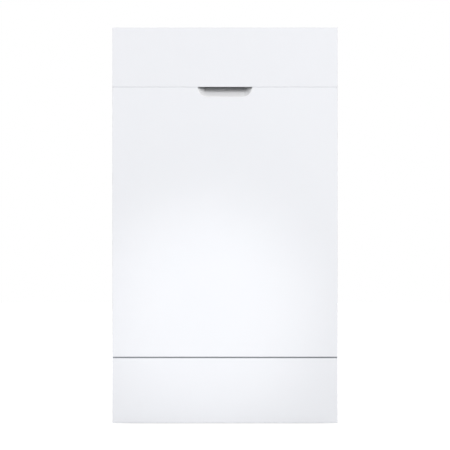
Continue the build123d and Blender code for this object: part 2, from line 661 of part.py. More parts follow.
def button(x):
    foot_z = BOARD_TOP + 1.6 + BUTTON_TRAVEL
    cap = rod_z(foot_z, TOP, x, CONTROL_Y, BUTTON_RADIUS)
    cap = chamfer(cap.edges().group_by(Axis.Z)[-1], 0.5)
    return cap + rod_z(STRIP_UNDER - 3.4, STRIP_UNDER - 0.2, x, CONTROL_Y, BUTTON_RADIUS + 1.5)


def dispenser_body():
    z = DISPENSER_Z
    block = along_y(rounded(172, 104, 8, DISPENSER_X, z), DISH_FLOOR, LID_FACE)
    block += along_y(rounded(156, 86, 6, DISPENSER_X, z), DISH_FLOOR - 25, DISH_FLOOR + 1)
    block -= along_y(rounded(82, 70, 10, CUP_X, z - 2), DISH_FLOOR - 21, LID_FACE + 1)
    block -= rod_y(DISH_FLOOR - 9, LID_FACE + 1, CAP_X, z, 16.1)
    for x in (CUP_X - 41, CUP_X + 41):
        block += slab(x - 2, x + 2, LID_FACE - 1, LID_FACE + 4.2, LID_AXIS_Z - 3, LID_AXIS_Z + 2.5)
    return block + rod_x(CUP_X - 42, CUP_X + 42, LID_AXIS_Y, LID_AXIS_Z, LID_PIN)


def dispenser_lid():
    face = LID_FACE + SLIDING
    lid = along_y(rounded(90, 78, 8, CUP_X, DISPENSER_Z - 1), face, face + 3)
    lid += slab(CUP_X - 38, CUP_X + 38, face, face + 2 * LID_BARREL, LID_AXIS_Z, LID_AXIS_Z + 5.5)
    lid += rod_x(CUP_X - 38, CUP_X + 38, LID_AXIS_Y, LID_AXIS_Z, LID_BARREL)
    lid -= rod_x(CUP_X - 50, CUP_X + 50, LID_AXIS_Y, LID_AXIS_Z, LID_PIN + RUNNING)
    for side in (-1, 1):
        x = CUP_X + side * 43.5
        lid -= slab(x - 5.5, x + 5.5, face - 5, face + 5, LID_AXIS_Z - 20, LID_AXIS_Z + 3.5)
    return lid + slab(CUP_X - 10, CUP_X + 10, face + 2.5, face + 5.3, DISPENSER_Z + 28, DISPENSER_Z + 34)


def rinse_aid_cap():
    cap = rod_y(DISH_FLOOR - 8.7, LID_FACE + 2, CAP_X, DISPENSER_Z, 16)
    return cap + slab(CAP_X - 12, CAP_X + 12, LID_FACE + 1, LID_FACE + 5, DISPENSER_Z - 2, DISPENSER_Z + 2)


# Racks: eight-sided wires whose flats meet where they cross
OCTAGON = RegularPolygon(WIRE / 2, 8, major_radius=False, rotation=22.5)


def wire_x(x0, x1, y, z):
    return along_x(Pos(y, z) * OCTAGON, x0, x1)


def wire_y(y0, y1, x, z):
    return along_y(Pos(x, z) * OCTAGON, y0, y1)


def wire_z(z0, z1, x, y):
    return along_z(Pos(x, y) * OCTAGON, z0, z1)


def welded(wires):
    return wires[0].fuse(*wires[1:])


def rack_rows():
    inset = 1.5 * WIRE
    xs = spread(-RACK_HALF + inset + 20, RACK_HALF - inset - 20, 7)
    ys = spread(RACK_FRONT + inset + 22, RACK_BACK - inset - 22, 8)
    return xs, ys


def rack_mats(floor, height):
    d = WIRE
    post_x = RACK_HALF - 1.5 * d
    posts_y = (RACK_FRONT + 1.5 * d, RACK_BACK - 1.5 * d)
    xs, ys = rack_rows()
    rim = floor + height
    levels = (floor + 1.5 * d + 8, floor + height * 0.55, rim)
    wires = [wire_x(-post_x - d / 2, post_x + d / 2, y, floor) for y in ys]
    wires += [wire_y(posts_y[0] - d / 2, posts_y[1] + d / 2, x, floor + d) for x in xs]
    mats = [welded(wires)]
    for side in (-1, 1):
        wires = [wire_z(floor + d / 2, rim + d / 2, side * post_x, y) for y in ys]
        wires += [wire_y(RACK_FRONT, RACK_BACK, side * (post_x + d), z) for z in levels]
        mats.append(welded(wires))
    for post, out in zip(posts_y, (-d, d)):
        wires = [wire_z(floor + 1.5 * d, rim + 1.5 * d, x, post) for x in xs]
        wires += [wire_x(-RACK_HALF, RACK_HALF, post + out, z + d) for z in levels]
        mats.append(welded(wires))
    return mats


def tines(columns, y0, y1, count, floor, height):
    rows = spread(y0, y1, count)
    return [wire_z(floor + 1.5 * WIRE, floor + height, x, y) for x in columns for y in rows]


def wheel_clip(y):
    outer = WHEEL_X - 0.4
    end = WHEEL_X + WHEEL_WIDTH
    clip = slab(RACK_HALF, outer, y - 9, y + 9, WHEEL_Z - 9, LOWER_FLOOR + 20)
    clip = fillet(clip.edges().filter_by(Axis.X), 4)
    clip += rod_x(outer - 1, end + 0.4, y, WHEEL_Z, AXLE_RADIUS)
    return clip + rod_x(end + 0.3, end + 2, y, WHEEL_Z, AXLE_RADIUS + 1.5)


def lower_rack():
    xs = rack_rows()[0]
    stand = tines((xs[0], xs[2], xs[4]), RACK_FRONT + 57, RACK_BACK - 44, 9, LOWER_FLOOR, LOWER_TINES)
    clips = [piece for y in WHEEL_ROWS for piece in pair(wheel_clip(y))]
    return rack_mats(LOWER_FLOOR, LOWER_HEIGHT) + stand + clips


def wheel_pair(y):
    end = WHEEL_X + WHEEL_WIDTH
    wheel = chamfer(rod_x(WHEEL_X, end, y, WHEEL_Z, WHEEL_RADIUS).edges(), 1.2)
    wheel -= rod_x(WHEEL_X - 1, end + 1, y, WHEEL_Z, AXLE_RADIUS + RUNNING)
    hub = rod_x(end - 3, end + 2, y, WHEEL_Z, AXLE_RADIUS + 3)
    wheel -= rod_x(end - 2.5, end + 1, y, WHEEL_Z, WHEEL_RADIUS - 5) - hub
    return pair(wheel)


def cutlery_basket():
    w = BASKET_WALL
    x1 = RACK_HALF - 14
    x0 = x1 - BASKET_WIDTH
    y0 = RACK_FRONT + 27
    y1 = y0 + BASKET_LENGTH
    z0 = LOWER_FLOOR + 1.5 * WIRE
    z1 = z0 + BASKET_HEIGHT
    xm = (x0 + x1) / 2
    dividers = (y0 + BASKET_LENGTH * 0.33, y0 + BASKET_LENGTH * 0.67)
    drains = [along_z(rounded(46, 8, 3.9, xm, y), z0 - 1, z0 + w + 1) for y in spread(y0 + 15, y1 - 15, 8)]
    floor = slab(x0, x1, y0, y1, z0, z0 + w).cut(*drains)
    slots = []
    for y in spread(y0 + 16, y1 - 16, 9):
        if min(abs(y - place) for place in dividers) > 6:
            slots += [along_x(rounded(9, 34, 4.4, y, z), x0 - 1, x1 + 1) for z in (z0 + 34, z0 + 80)]
    side = slab(x0, x0 + w, y0, y1, z0 + w, z1).cut(*slots)
    end = slab(x0 + w, x1 - w, y0, y0 + w, z0 + w, z1)
    end = end.cut(*[along_y(rounded(9, 34, 4.4, x, z0 + 57), y0 - 1, y1 + 1) for x in (xm - 18, xm, xm + 18)])
    panels = [floor, side, Pos(BASKET_WIDTH - w, 0, 0) * side, end, Pos(0, BASKET_LENGTH - w, 0) * end]
    panels += [slab(x0 + w, x1 - w, y - w / 2, y + w / 2, z0 + w, z1 - 6) for y in dividers]
    grip = slab(xm - 5, xm + 5, dividers[0] - w / 2, dividers[1] + w / 2, z1 + 34, z1 + 44)
    grip = fillet(grip.edges().filter_by(Axis.X).group_by(Axis.Z)[-1], 6)
    post = slab(xm - 5, xm + 5, dividers[0] - w / 2, dividers[0] - w / 2 + 10, z1 - 6, z1 + 34)
    return panels + [post, Pos(0, dividers[1] - dividers[0] + w - 10, 0) * post, grip]


def upper_rack():
    xs = rack_rows()[0]
    stand = tines((xs[1], xs[3], xs[5]), RACK_FRONT + 57, RACK_BACK - 54, 7, UPPER_FLOOR, UPPER_TINES)
    bar = RUNNER_X - SLIDING
    tall = RAIL_HALF + 2 + SLIDING
    hook = RUNNER_X + 2 + SLIDING
    section = outline([
        (RACK_HALF, -tall - 4), (hook + 2, -tall - 4), (hook + 2, -8), (hook, -8), (hook, -tall),
        (bar, -tall), (bar, tall), (hook, tall), (hook, 8), (hook + 2, 8), (hook + 2, tall + 4),
        (RACK_HALF, tall + 4),
    ])
    shoes = []
    for y in (RACK_FRONT + 42, RACK_BACK - 64):
        shoes += pair(Pos(0, 0, RAIL_Z) * along_y(section, y - 20, y + 20))
    return rack_mats(UPPER_FLOOR, UPPER_HEIGHT) + stand + shoes


def rack_rail():
    h, t = RAIL_HALF, STEEL
    web, lip = TUB_HALF - STEEL, TUB_HALF - 11.5
    section = outline([
        (TUB_HALF, -h), (TUB_HALF, h), (lip, h), (lip, 6.5), (lip + t, 6.5), (lip + t, h - t), (web, h - t),
        (web, t - h), (lip + t, t - h), (lip + t, -6.5), (lip, -6.5), (lip, -h),
    ])
    return Pos(0, 0, RAIL_Z) * along_y(section, RACK_FRONT + 1, RACK_BACK + 2)


def runner():
    h = RAIL_HALF - STEEL - SLIDING
    web = TUB_HALF - STEEL - SLIDING
    lip = TUB_HALF - 11.5 + STEEL + SLIDING
    bar = RUNNER_X
    tall = RAIL_HALF + 2
    section = outline([
        (web, -h), (web, h), (lip, h), (lip, 6), (bar + 2, 6), (bar + 2, tall), (bar, tall),
        (bar, -tall), (bar + 2, -tall), (bar + 2, -6), (lip, -6), (lip, -h),
    ])
    return Pos(0, 0, RAIL_Z) * along_y(section, RACK_FRONT + 3, RACK_BACK)


# Spray arms and water parts
def spray_arm(foot_z, bore, hub_foot, hub_top):
    tip, root, lead = 11.0, 19.0, 4.0
    shoulder = ARM_REACH * 0.55
    blade = outline([
        (0, root), (shoulder, root - 3 + lead), (ARM_REACH - tip, tip + lead), (ARM_REACH, lead),
        (ARM_REACH - tip, -tip + lead), (shoulder, -root + 3 + lead), (0, -root),
    ])
    blade = fillet(blade.vertices().group_by(Axis.X)[-1], 6)
    both = blade + Rot(0, 0, 180) * blade
    top = foot_z + ARM_THICKNESS
    arm = along_z(Pos(0, MIDDLE) * both, foot_z, top)
    arm = chamfer(arm.faces().sort_by(Axis.Z)[-1].edges(), 2.5)
    arm += rod_z(hub_foot, hub_top, 0, MIDDLE, bore + 15)
    for side in (-1, 1):
        for share, y in ((0.28, -2), (0.49, 4), (0.70, -2), (0.88, 4)):
            jet = rounded(7, 3, 1.4, side * ARM_REACH * share, MIDDLE + side * y)
            arm -= along_z(jet, top - 3, top + 1)
    return arm - rod_z(hub_foot - 1, hub_top + 1, 0, MIDDLE, bore + RUNNING)


def lower_spray_arm():
    return spray_arm(LOWER_ARM, 9, LOWER_ARM - 1.2, LOWER_ARM + 15.5)


def upper_spray_arm():
    return spray_arm(UPPER_ARM, 8, UPPER_ARM - 2, UPPER_ARM + 14)


def upper_feed_tube():
    tube = slab(-13, 13, MIDDLE - 22, RACK_BACK + 2, FEED_FOOT, FEED_TOP)
    tube = fillet(tube.edges().filter_by(Axis.Y), 3)
    tube += rod_y(RACK_BACK, PIPE_Y - PIPE_RADIUS - 3.2, 0, FEED_Z, 6.5)
    tube += rod_z(UPPER_ARM + 14.4, FEED_FOOT + 1, 0, MIDDLE, 14)
    tube += rod_z(UPPER_ARM - 4.5, FEED_FOOT, 0, MIDDLE, 8)
    return tube + rod_z(UPPER_ARM - 6.5, UPPER_ARM - 2.3, 0, MIDDLE, 12)


def sump():
    floor = SUMP_TOP - 3 - SUMP_DEPTH
    bowl = rod_z(floor, SUMP_TOP - 3, SUMP_SHIFT, MIDDLE, SUMP_RADIUS)
    bowl = chamfer(bowl.edges().group_by(Axis.Z)[0], 17)
    bowl += rod_z(SUMP_TOP - 3, SUMP_TOP, SUMP_SHIFT, MIDDLE, SUMP_RADIUS + 8)
    room = rod_z(floor + 3, SUMP_TOP + 1, SUMP_SHIFT, MIDDLE, SUMP_RADIUS - 4)
    bowl -= chamfer(room.edges().group_by(Axis.Z)[0], 15.5)
    bowl += rod_z(floor + 1, LOWER_ARM - 1.5, 0, MIDDLE, 18)
    bowl += rod_z(LOWER_ARM - 2.5, LOWER_ARM + 17.5, 0, MIDDLE, 9)
    bowl += rod_z(LOWER_ARM + 15.8, LOWER_ARM + 20.5, 0, MIDDLE, 11)
    inside = rod_z(floor, SUMP_TOP, SUMP_SHIFT, MIDDLE, SUMP_RADIUS - 2)
    bowl += rod_y(PUMP_FRONT - 26, PUMP_FRONT, PUMP_SHIFT, PUMP_Z, 17) - inside
    return bowl + (rod_x(DRAIN_END, DRAIN_END + 34, MIDDLE, DRAIN_Z, 20) - inside)


def fine_filter():
    plate = rod_z(BASIN, BASIN + 2, SUMP_SHIFT, MIDDLE, SUMP_RADIUS + 4)
    plate -= rod_z(BASIN - 1, BASIN + 4, 0, MIDDLE, 19)
    return plate - rod_z(BASIN - 1, BASIN + 4, FILTER_SHIFT, MIDDLE, FILTER_RADIUS + 1)


def coarse_filter():
    r, x = FILTER_RADIUS, FILTER_SHIFT
    foot_z = SUMP_TOP - SUMP_DEPTH + 8
    cup = rod_z(foot_z, BASIN + 2, x, MIDDLE, r) + rod_z(BASIN + 2, BASIN + 5, x, MIDDLE, r + 6)
    cup -= rod_z(foot_z + 3, BASIN + 6, x, MIDDLE, r - 2.5)
    for i in range(4):
        window = along_x(rounded(20, 36, 5, 0, (foot_z + BASIN) / 2), 10, r + 5)
        cup -= Pos(x, MIDDLE, 0) * Rot(0, 0, 45 + 90 * i) * window
    return cup + slab(x - r + 1, x + r - 1, MIDDLE - 3, MIDDLE + 3, BASIN + 2, BASIN + 16)


def circulation_pump():
    x, z, r = PUMP_SHIFT, PUMP_Z, PUMP_RADIUS
    case = rod_y(PUMP_FRONT, PUMP_BACK, x, z, r)
    case += rod_z(z, OUTLET_TOP, 0, OUTLET_Y, PIPE_RADIUS + 1)
    case -= rod_z(OUTLET_TOP, SUMP_TOP, 0, OUTLET_Y, PIPE_RADIUS + 1)
    case -= rod_y(PUMP_FRONT + 12, PUMP_BACK - 4, x, z, r - 4)
    case -= rod_y(PUMP_BACK - 5, PUMP_BACK + 1, x, z, 8)
    return case - rod_y(PUMP_FRONT - 1, PUMP_FRONT + 13, x, z, 13)


def pump_motor():
    x, z = PUMP_SHIFT, PUMP_Z
    can = rod_y(PUMP_BACK, PUMP_BACK + MOTOR_LENGTH, x, z, PUMP_RADIUS - 5)
    can = chamfer(can.edges().group_by(Axis.Y)[-1], 4)
    can += slab(x - 14, x + 26, PUMP_BACK + 14, PUMP_BACK + MOTOR_LENGTH - 10, BASE_FLOOR, z - 25)
    return can - rod_y(PUMP_BACK - 1, PUMP_BACK + 32, x, z, 5 + RUNNING)


def pump_impeller():
    x, z, y = PUMP_SHIFT, PUMP_Z, PUMP_BACK - 16
    wheel = rod_y(y, y + 6, x, z, PUMP_RADIUS - 10)
    for i in range(6):
        turned = Pos(x, y - 5, z) * Rot(0, 60 * i, 0)
        wheel += turned * Pos(PUMP_RADIUS / 2 - 2, 0, 0) * Box(PUMP_RADIUS - 20, 11, 3)
    return wheel + rod_y(y - 10, PUMP_BACK + 31, x, z, 5)


def drain_pump():
    body = rod_x(DRAIN_END - 66, DRAIN_END, MIDDLE, DRAIN_Z, 27)
    body = chamfer(body.edges().group_by(Axis.X)[0], 4)
    return body + rod_y(MIDDLE, MIDDLE + 40, DRAIN_END - 20, DRAIN_Z, 9)


def drain_outlet():
    start = (DRAIN_END - 20, MIDDLE + 40, DRAIN_Z)
    end = (-PORT_X, PORT_SEAT - 28, PORT_Z)
    leave = (start[0], start[1] + 40, start[2])
    arrive = (end[0], end[1] - 40, end[2])
    path = FilletPolyline(start, leave, arrive, end, radius=40)
    hose = sweep(Plane(origin=start, z_dir=(0, 1, 0)) * Circle(8), path=path)
    spigot = rod_y(PORT_SEAT - 28, PORT_SEAT, -PORT_X, PORT_Z, DRAIN_RADIUS + 1.5)
    spigot += rod_y(PORT_SEAT - 2, PORT_SEAT, -PORT_X, PORT_Z, DRAIN_RADIUS + 11.5)
    return hose + spigot + rod_y(PORT_SEAT, BASE_BACK, -PORT_X, PORT_Z, DRAIN_RADIUS)


def spray_feed_pipe():
    run = OUTLET_TOP + 11
    end = TUB_CEILING - 20
    start = (0, OUTLET_Y, OUTLET_TOP)
    line = FilletPolyline(start, (0, OUTLET_Y, run), (0, PIPE_Y, run), (0, PIPE_Y, end), radius=9.9)
    pipe = sweep(Plane(origin=start, z_dir=(0, 0, 1)) * Circle(PIPE_RADIUS - 2.5), path=line)
    pipe += rod_z(LEDGE, FEED_Z, 0, PIPE_Y, PIPE_RADIUS)
    return pipe + rod_y(PIPE_Y - PIPE_RADIUS - 2.6, PIPE_Y, 0, FEED_Z, 9)


def ceiling_sprayer():
    foot_z = TUB_CEILING - 20
    arm = slab(-12, 12, MIDDLE, PIPE_Y + 12, foot_z, foot_z + 10)
    arm = fillet(arm.edges().filter_by(Axis.Z), 6)
    head = Pos(0, MIDDLE, foot_z + 2) * Cone(22, 34, 10)
    stem = rod_z(foot_z + 9, TUB_CEILING, 0, MIDDLE, 12)
    return arm + head + stem + rod_z(foot_z + 9, TUB_CEILING, 0, PIPE_Y - 64, 8)


def inlet_valve():
    x, z = PORT_X, PORT_Z
    body = along_y(rounded(36, 36, 6, x, z), PORT_SEAT - 52, PORT_SEAT - 2)
    body += rod_z(z + 16, z + 52, x, PORT_SEAT - 30, 15)
    body += rod_y(PORT_SEAT - 4, PORT_SEAT, x, z, INLET_RADIUS + 10.8)
    body += rod_y(PORT_SEAT - 2, BASE_BACK, x, z, INLET_RADIUS)
    return body + slab(x - 10, x + 10, PORT_SEAT - 46, PORT_SEAT - 8, BASE_FLOOR, z - 16)


def mains_inlet():
    box = along_y(rounded(52, 52, 4, LEAD_X, LEAD_Z), PORT_SEAT - 30, PORT_SEAT)
    box += rod_y(PORT_SEAT - 2, RECESS_Y + 11, LEAD_X, LEAD_Z, LEAD_RADIUS + 6)
    return box - rod_y(PORT_SEAT - 26, RECESS_Y + 12, LEAD_X, LEAD_Z, LEAD_RADIUS)


RIGHT_PANEL = side_panel()

PIECES = {
    "base_tray": base_tray(),
    "plinth": plinth(),
    "right_side_panel": RIGHT_PANEL,
    "left_side_panel": flipped(RIGHT_PANEL),
    "rear_panel": rear_panel(),
    "top_panel": top_panel(),
    "front_crossrail": front_crossrail(),
    "counter_brackets": [counter_bracket(x) for x in bracket_places()],
    "tub_wrap": tub_wrap(),
    "tub_rear_wall": tub_rear_wall(),
    "tub_floor": tub_floor(),
    "tub_gasket": tub_gasket(),
    "insulation_blanket": insulation_blanket(),
    "hinge_brackets": pair(hinge_bracket()),
    "hinge_pins": pair(hinge_pin()),
    "hinge_arms": pair(hinge_arm()),
    "door_springs": pair(door_spring()) + pair(door_cord()),
    "latch_strike": latch_strike(),
    "latch_housing": latch_housing(),
    "latch_hook": latch_hook(),
    "door_outer_panel": door_outer_panel(),
    "fascia": fascia(),
    "handle_pocket": handle_pocket(),
    "door_inner_panel": door_inner_panel(),
    "door_insulation": door_insulation(),
    "control_strip": control_strip(),
    "control_board": control_board(),
    "display_window": display_window(),
    "dispenser_body": dispenser_body(),
    "dispenser_lid": dispenser_lid(),
    "rinse_aid_cap": rinse_aid_cap(),
    "lower_rack": lower_rack(),
    "cutlery_basket": cutlery_basket(),
    "upper_rack": upper_rack(),
    "upper_feed_tube": upper_feed_tube(),
    "upper_runners": pair(runner()),
    "rack_rails": pair(rack_rail()),
    "lower_spray_arm": lower_spray_arm(),
    "upper_spray_arm": upper_spray_arm(),
    "sump": sump(),
    "fine_filter": fine_filter(),
    "coarse_filter": coarse_filter(),
    "circulation_pump": circulation_pump(),
    "pump_motor": pump_motor(),
    "pump_impeller": pump_impeller(),
    "drain_pump": drain_pump(),
    "drain_outlet": drain_outlet(),
    "spray_feed_pipe": spray_feed_pipe(),
    "ceiling_sprayer": ceiling_sprayer(),
    "inlet_valve": inlet_valve(),
    "mains_inlet": mains_inlet(),
}
for row, y in zip(("front", "middle", "rear"), WHEEL_ROWS):
    PIECES[f"wheels_{row}"] = wheel_pair(y)
for corner, place in zip(("front_left", "front_right", "rear"), foot_places()):
    PIECES[f"foot_{corner}"] = foot(*place)
for name, x in BUTTONS.items():
    PIECES[name] = button(x)

for name, piece in PIECES.items():
    solids = []
    for item in piece if isinstance(piece, list) else [piece]:
        solids += item.solids()
    export_step(Compound(solids), f"parts/{name}.step")
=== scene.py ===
# %% [markdown]
# A slim built-under dishwasher, seen square on, white on a white ground. The solids come from the
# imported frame, so that the picture and the moving model agree. They could be drawn again in
# Blender, but then a size that changes would have to change twice. This lesson gives each solid
# its finish, adds the small pieces that repeat, such as rack wires, screws and spring coils, and
# sets the camera and the light.

# %% Load the frame
import math

import bmesh
import bpy
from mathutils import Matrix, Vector


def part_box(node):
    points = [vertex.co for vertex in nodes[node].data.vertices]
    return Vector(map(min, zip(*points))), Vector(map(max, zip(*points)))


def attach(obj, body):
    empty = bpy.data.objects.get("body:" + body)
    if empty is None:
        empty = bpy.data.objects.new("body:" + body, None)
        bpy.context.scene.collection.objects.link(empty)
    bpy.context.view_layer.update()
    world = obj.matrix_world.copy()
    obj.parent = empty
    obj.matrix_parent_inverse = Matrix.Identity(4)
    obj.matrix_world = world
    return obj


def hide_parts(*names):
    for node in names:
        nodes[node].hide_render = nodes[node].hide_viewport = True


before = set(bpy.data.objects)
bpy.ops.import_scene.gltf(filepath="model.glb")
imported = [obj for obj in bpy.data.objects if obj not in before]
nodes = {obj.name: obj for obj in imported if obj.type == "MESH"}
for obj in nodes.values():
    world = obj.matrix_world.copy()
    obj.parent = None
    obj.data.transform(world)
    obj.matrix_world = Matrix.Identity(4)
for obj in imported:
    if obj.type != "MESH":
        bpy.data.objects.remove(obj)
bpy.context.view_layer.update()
print("pieces in the frame:", len(nodes))

# %% [markdown]
# A finish is a small tree of shader nodes, and a repeated shape is a small tree of geometry
# nodes. Both could be clicked together in Blender's editors. Code can be read from top to bottom
# and run again, so one class serves both kinds: its node method makes a node from a type, its
# settings and what feeds its sockets.


# %% A tree of nodes
class Tree:
    def node(self, kind, settings=None, inputs=None):
        made = self.tree.nodes.new(kind)
        for key, value in (settings or {}).items():
            if key == "stops":
                self.set_stops(made.color_ramp, value)
            else:
                setattr(made, key, value)
        for key, value in (inputs or {}).items():
            self.feed(made.inputs[key], value)
        return made

    def set_stops(self, ramp, stops):
        for element, (position, colour) in zip(ramp.elements, stops):
            element.position = position
            element.color = (*colour, 1.0)

    def feed(self, socket, value):
        if isinstance(value, list):
            for each in value:
                self.feed(socket, each)
            return
        if isinstance(value, Number):
            value = value.socket
        if isinstance(value, bpy.types.Node):
            value = value.outputs[0]
        if isinstance(value, bpy.types.NodeSocket):
            self.tree.links.new(value, socket)
        else:
            socket.default_value = value


# %% [markdown]
# Colour, roughness and relief come from sums of noise. Wiring each sum by hand hides what it
# means, so a second class wraps a number socket, and Python's own signs then add the Math nodes.


# %% Numbers that add nodes
class Number:
    def __init__(self, finish, socket):
        self.finish = finish
        self.socket = socket

    def maths(self, operation, first, second):
        inputs = {0: first, 1: second}
        made = self.finish.node("ShaderNodeMath", {"operation": operation}, inputs)
        return Number(self.finish, made.outputs[0])

    def __add__(self, other):
        return self.maths("ADD", self, other)

    def __sub__(self, other):
        return self.maths("SUBTRACT", self, other)

    def __rsub__(self, other):
        return self.maths("SUBTRACT", other, self)

    def __mul__(self, other):
        return self.maths("MULTIPLY", self, other)

    def __gt__(self, other):
        return self.maths("GREATER_THAN", self, other)

    __radd__ = __add__
    __rmul__ = __mul__


# %% [markdown]
# Every finish starts from the Principled shader and reads Object coordinates, so that its pattern
# stays on a piece that moves. A picture wrapped round the piece would need a flat map of it.
# Noise needs none and has no seams. The colour runs between two tints, and a grain drives the
# roughness and the relief.


# %% A finish and its nodes
class Finish(Tree):
    def __init__(self, name, **constants):
        self.material = bpy.data.materials.new(name)
        self.material.use_nodes = True
        self.tree = self.material.node_tree
        self.tree.nodes.clear()
        self.shader = self.node("ShaderNodeBsdfPrincipled", inputs=constants)
        self.output = self.node("ShaderNodeOutputMaterial", inputs={"Surface": self.shader})
        self.place = self.node("ShaderNodeTexCoord").outputs["Object"]

    def stretched(self, scale):
        inputs = {"Vector": self.place, "Scale": scale}
        return self.node("ShaderNodeMapping", inputs=inputs).outputs[0]

    def noise(self, scale, detail=2.0, vector=None):
        inputs = {"Vector": vector or self.place, "Scale": scale, "Detail": detail}
        return Number(self, self.node("ShaderNodeTexNoise", inputs=inputs).outputs["Fac"])

    def cells(self, scale, output="Distance", feature="F1"):
        inputs = {"Vector": self.place, "Scale": scale}
        return self.node("ShaderNodeTexVoronoi", {"feature": feature}, inputs).outputs[output]

    def colour(self, share, first, second):
        stops = [(0.0, first), (1.0, second)]
        ramp = self.node("ShaderNodeValToRGB", {"stops": stops}, {"Fac": share})
        self.feed(self.shader.inputs["Base Color"], ramp)

    def surface(self, grain, roughness, spread, depth, relief=None):
        self.feed(self.shader.inputs["Roughness"], roughness + grain * spread)
        height = grain if relief is None else relief
        bump_inputs = {"Height": height, "Distance": depth, "Strength": 1.0}
        self.feed(self.shader.inputs["Normal"], self.node("ShaderNodeBump", inputs=bump_inputs))
        return self.material


# %% [markdown]
# The door, the plinth and the band above them are white. Enamel baked on steel has a faint orange
# peel a few millimetres wide, and a moulding has a much finer grain. Both differ so little from a
# flat white that only the edge of a highlight shows it. A flat white would do from afar, but
# close up it looks like paper, so the relief is there and is only hundredths of a millimetre.


# %% White finishes
def white_enamel():
    finish = Finish("white_enamel", **{"Coat Weight": 0.25, "Coat Roughness": 0.12})
    peel = finish.noise(scale=420.0, detail=3.0)
    cloud = finish.noise(scale=9.0)
    finish.colour(cloud, (0.845, 0.857, 0.892), (0.865, 0.876, 0.908))
    return finish.surface(peel, roughness=0.30, spread=0.06, depth=0.00003)


def moulding(name, dark, light, grain_scale=1500.0, detail=3.0, flow_scale=18.0,
             roughness=0.42, spread=0.16, depth=0.00004):
    finish = Finish(name)
    grain = finish.noise(grain_scale, detail)
    flow = finish.noise(flow_scale)
    finish.colour(flow, dark, light)
    return finish.surface(grain, roughness, spread, depth)


enamel = white_enamel()
band_white = moulding(
    "white_moulding", (0.835, 0.845, 0.880), (0.855, 0.865, 0.897),
    grain_scale=2600.0, detail=2.0, flow_scale=7.0, roughness=0.36, spread=0.08, depth=0.00002)
strip_white = moulding(
    "pale_moulding", (0.70, 0.71, 0.74), (0.74, 0.75, 0.77),
    grain_scale=2100.0, flow_scale=14.0, roughness=0.40, spread=0.12, depth=0.00003)
print("white finishes:", [finish.name for finish in (enamel, band_white, strip_white)])

# %% [markdown]
# The pocket handle is a white moulding, and the finger room at its top lies in deep shadow. The
# broad light here reaches farther into it than the real shadow allows. A smaller light would deepen
# the shadow and spoil the rest of the front, so the finish itself carries painted shade: it turns
# grey over the last few millimetres below the door's upper edge. This grey is a painted shadow, not
# a lining.

# %% Pocket handle
# Painted shade: how far below the door's upper edge the grey starts, and over what height it
# deepens.
PAINTED_SHADE_DROP = 0.0046
PAINTED_SHADE_RISE = 0.005
door_low, door_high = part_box("door_outer_panel")


def pocket_moulding():
    finish = Finish("pocket_moulding")
    grain = finish.noise(scale=2600.0)
    parts = finish.node("ShaderNodeSeparateXYZ", inputs={"Vector": finish.place})
    height = Number(finish, parts.outputs["Z"])
    # Painted shade: the white turns grey towards the door's upper edge and stands in for the finger
    # room's shadow.
    painted_shade = (height - (door_high.z - PAINTED_SHADE_DROP)) * (1 / PAINTED_SHADE_RISE)
    finish.colour(painted_shade, (0.950, 0.955, 0.970), (0.200, 0.205, 0.215))
    return finish.surface(grain, roughness=0.36, spread=0.08, depth=0.00002)


pocket_white = pocket_moulding()
print("lining starts at height:", round(door_high.z - PAINTED_SHADE_DROP, 4))

# %% [markdown]
# The tub and the inner door are brushed stainless sheet. Noise stretched a hundred times along
# one axis draws the brush lines, and they change the roughness more than the colour. The outer
# sheets are zinc plated, and zinc freezes in flat crystals, so Voronoi cells each get a grey of
# their own. A photograph of either metal would repeat itself, and noise does not.


# %% Sheet metals
def brushed_steel(name, along):
    finish = Finish(name, Metallic=1.0)
    lines = finish.noise(scale=1.0, detail=4.0, vector=finish.stretched(along))
    cloud = finish.noise(scale=6.0)
    finish.colour(cloud * 0.6 + lines * 0.4, (0.55, 0.56, 0.57), (0.68, 0.685, 0.69))
    return finish.surface(lines, roughness=0.24, spread=0.16, depth=0.00002)


def zinc_sheet():
    finish = Finish("zinc_sheet", Metallic=0.9)
    wobble = finish.noise(scale=60.0)
    tints = finish.cells(scale=150.0, output="Color")
    crystals = Number(finish, finish.node("ShaderNodeRGBToBW", inputs={"Color": tints}).outputs[0])
    finish.colour(crystals * 0.7 + wobble * 0.3, (0.56, 0.58, 0.60), (0.68, 0.70, 0.71))
    return finish.surface(crystals, roughness=0.36, spread=0.12, depth=0.00001)


tub_steel = brushed_steel("tub_steel", (14.0, 3.0, 1400.0))
door_steel = brushed_steel("door_steel", (1400.0, 14.0, 3.0))
zinc = zinc_sheet()
print("sheet metals:", [finish.name for finish in (tub_steel, door_steel, zinc)])

# %% [markdown]
# Springs, pins and screws are drawn steel under a thin dark scale, so one noise sets both the
# tint and the roughness. The pump motor's can is dark lacquer over sheet with turning marks round
# it. Rings could be cut into the mesh, but stretched noise in the relief shows the same marks for
# no faces.


# %% Spring steel and motor can
def spring_steel():
    finish = Finish("spring_steel", Metallic=1.0)
    scale = finish.noise(scale=700.0, detail=4.0)
    finish.colour(scale, (0.34, 0.34, 0.35), (0.52, 0.52, 0.53))
    return finish.surface(scale, roughness=0.28, spread=0.2, depth=0.00002)


def motor_can():
    finish = Finish("motor_can", Metallic=0.3)
    speck = finish.noise(scale=900.0, detail=3.0)
    bands = finish.noise(scale=1.0, detail=1.0, vector=finish.stretched((2.0, 700.0, 2.0)))
    finish.colour(speck, (0.05, 0.055, 0.065), (0.10, 0.105, 0.115))
    return finish.surface(speck, roughness=0.38, spread=0.18, depth=0.0003, relief=bands)


steel_wire = spring_steel()
can_lacquer = motor_can()
print("dark metals:", steel_wire.name, can_lacquer.name)

# %% [markdown]
# The hidden mouldings are polypropylene with a spark-eroded grain that scatters the light. Each
# could have its own tree. The function of the white mouldings makes them too, because only the
# colour and the coarseness of the grain change.

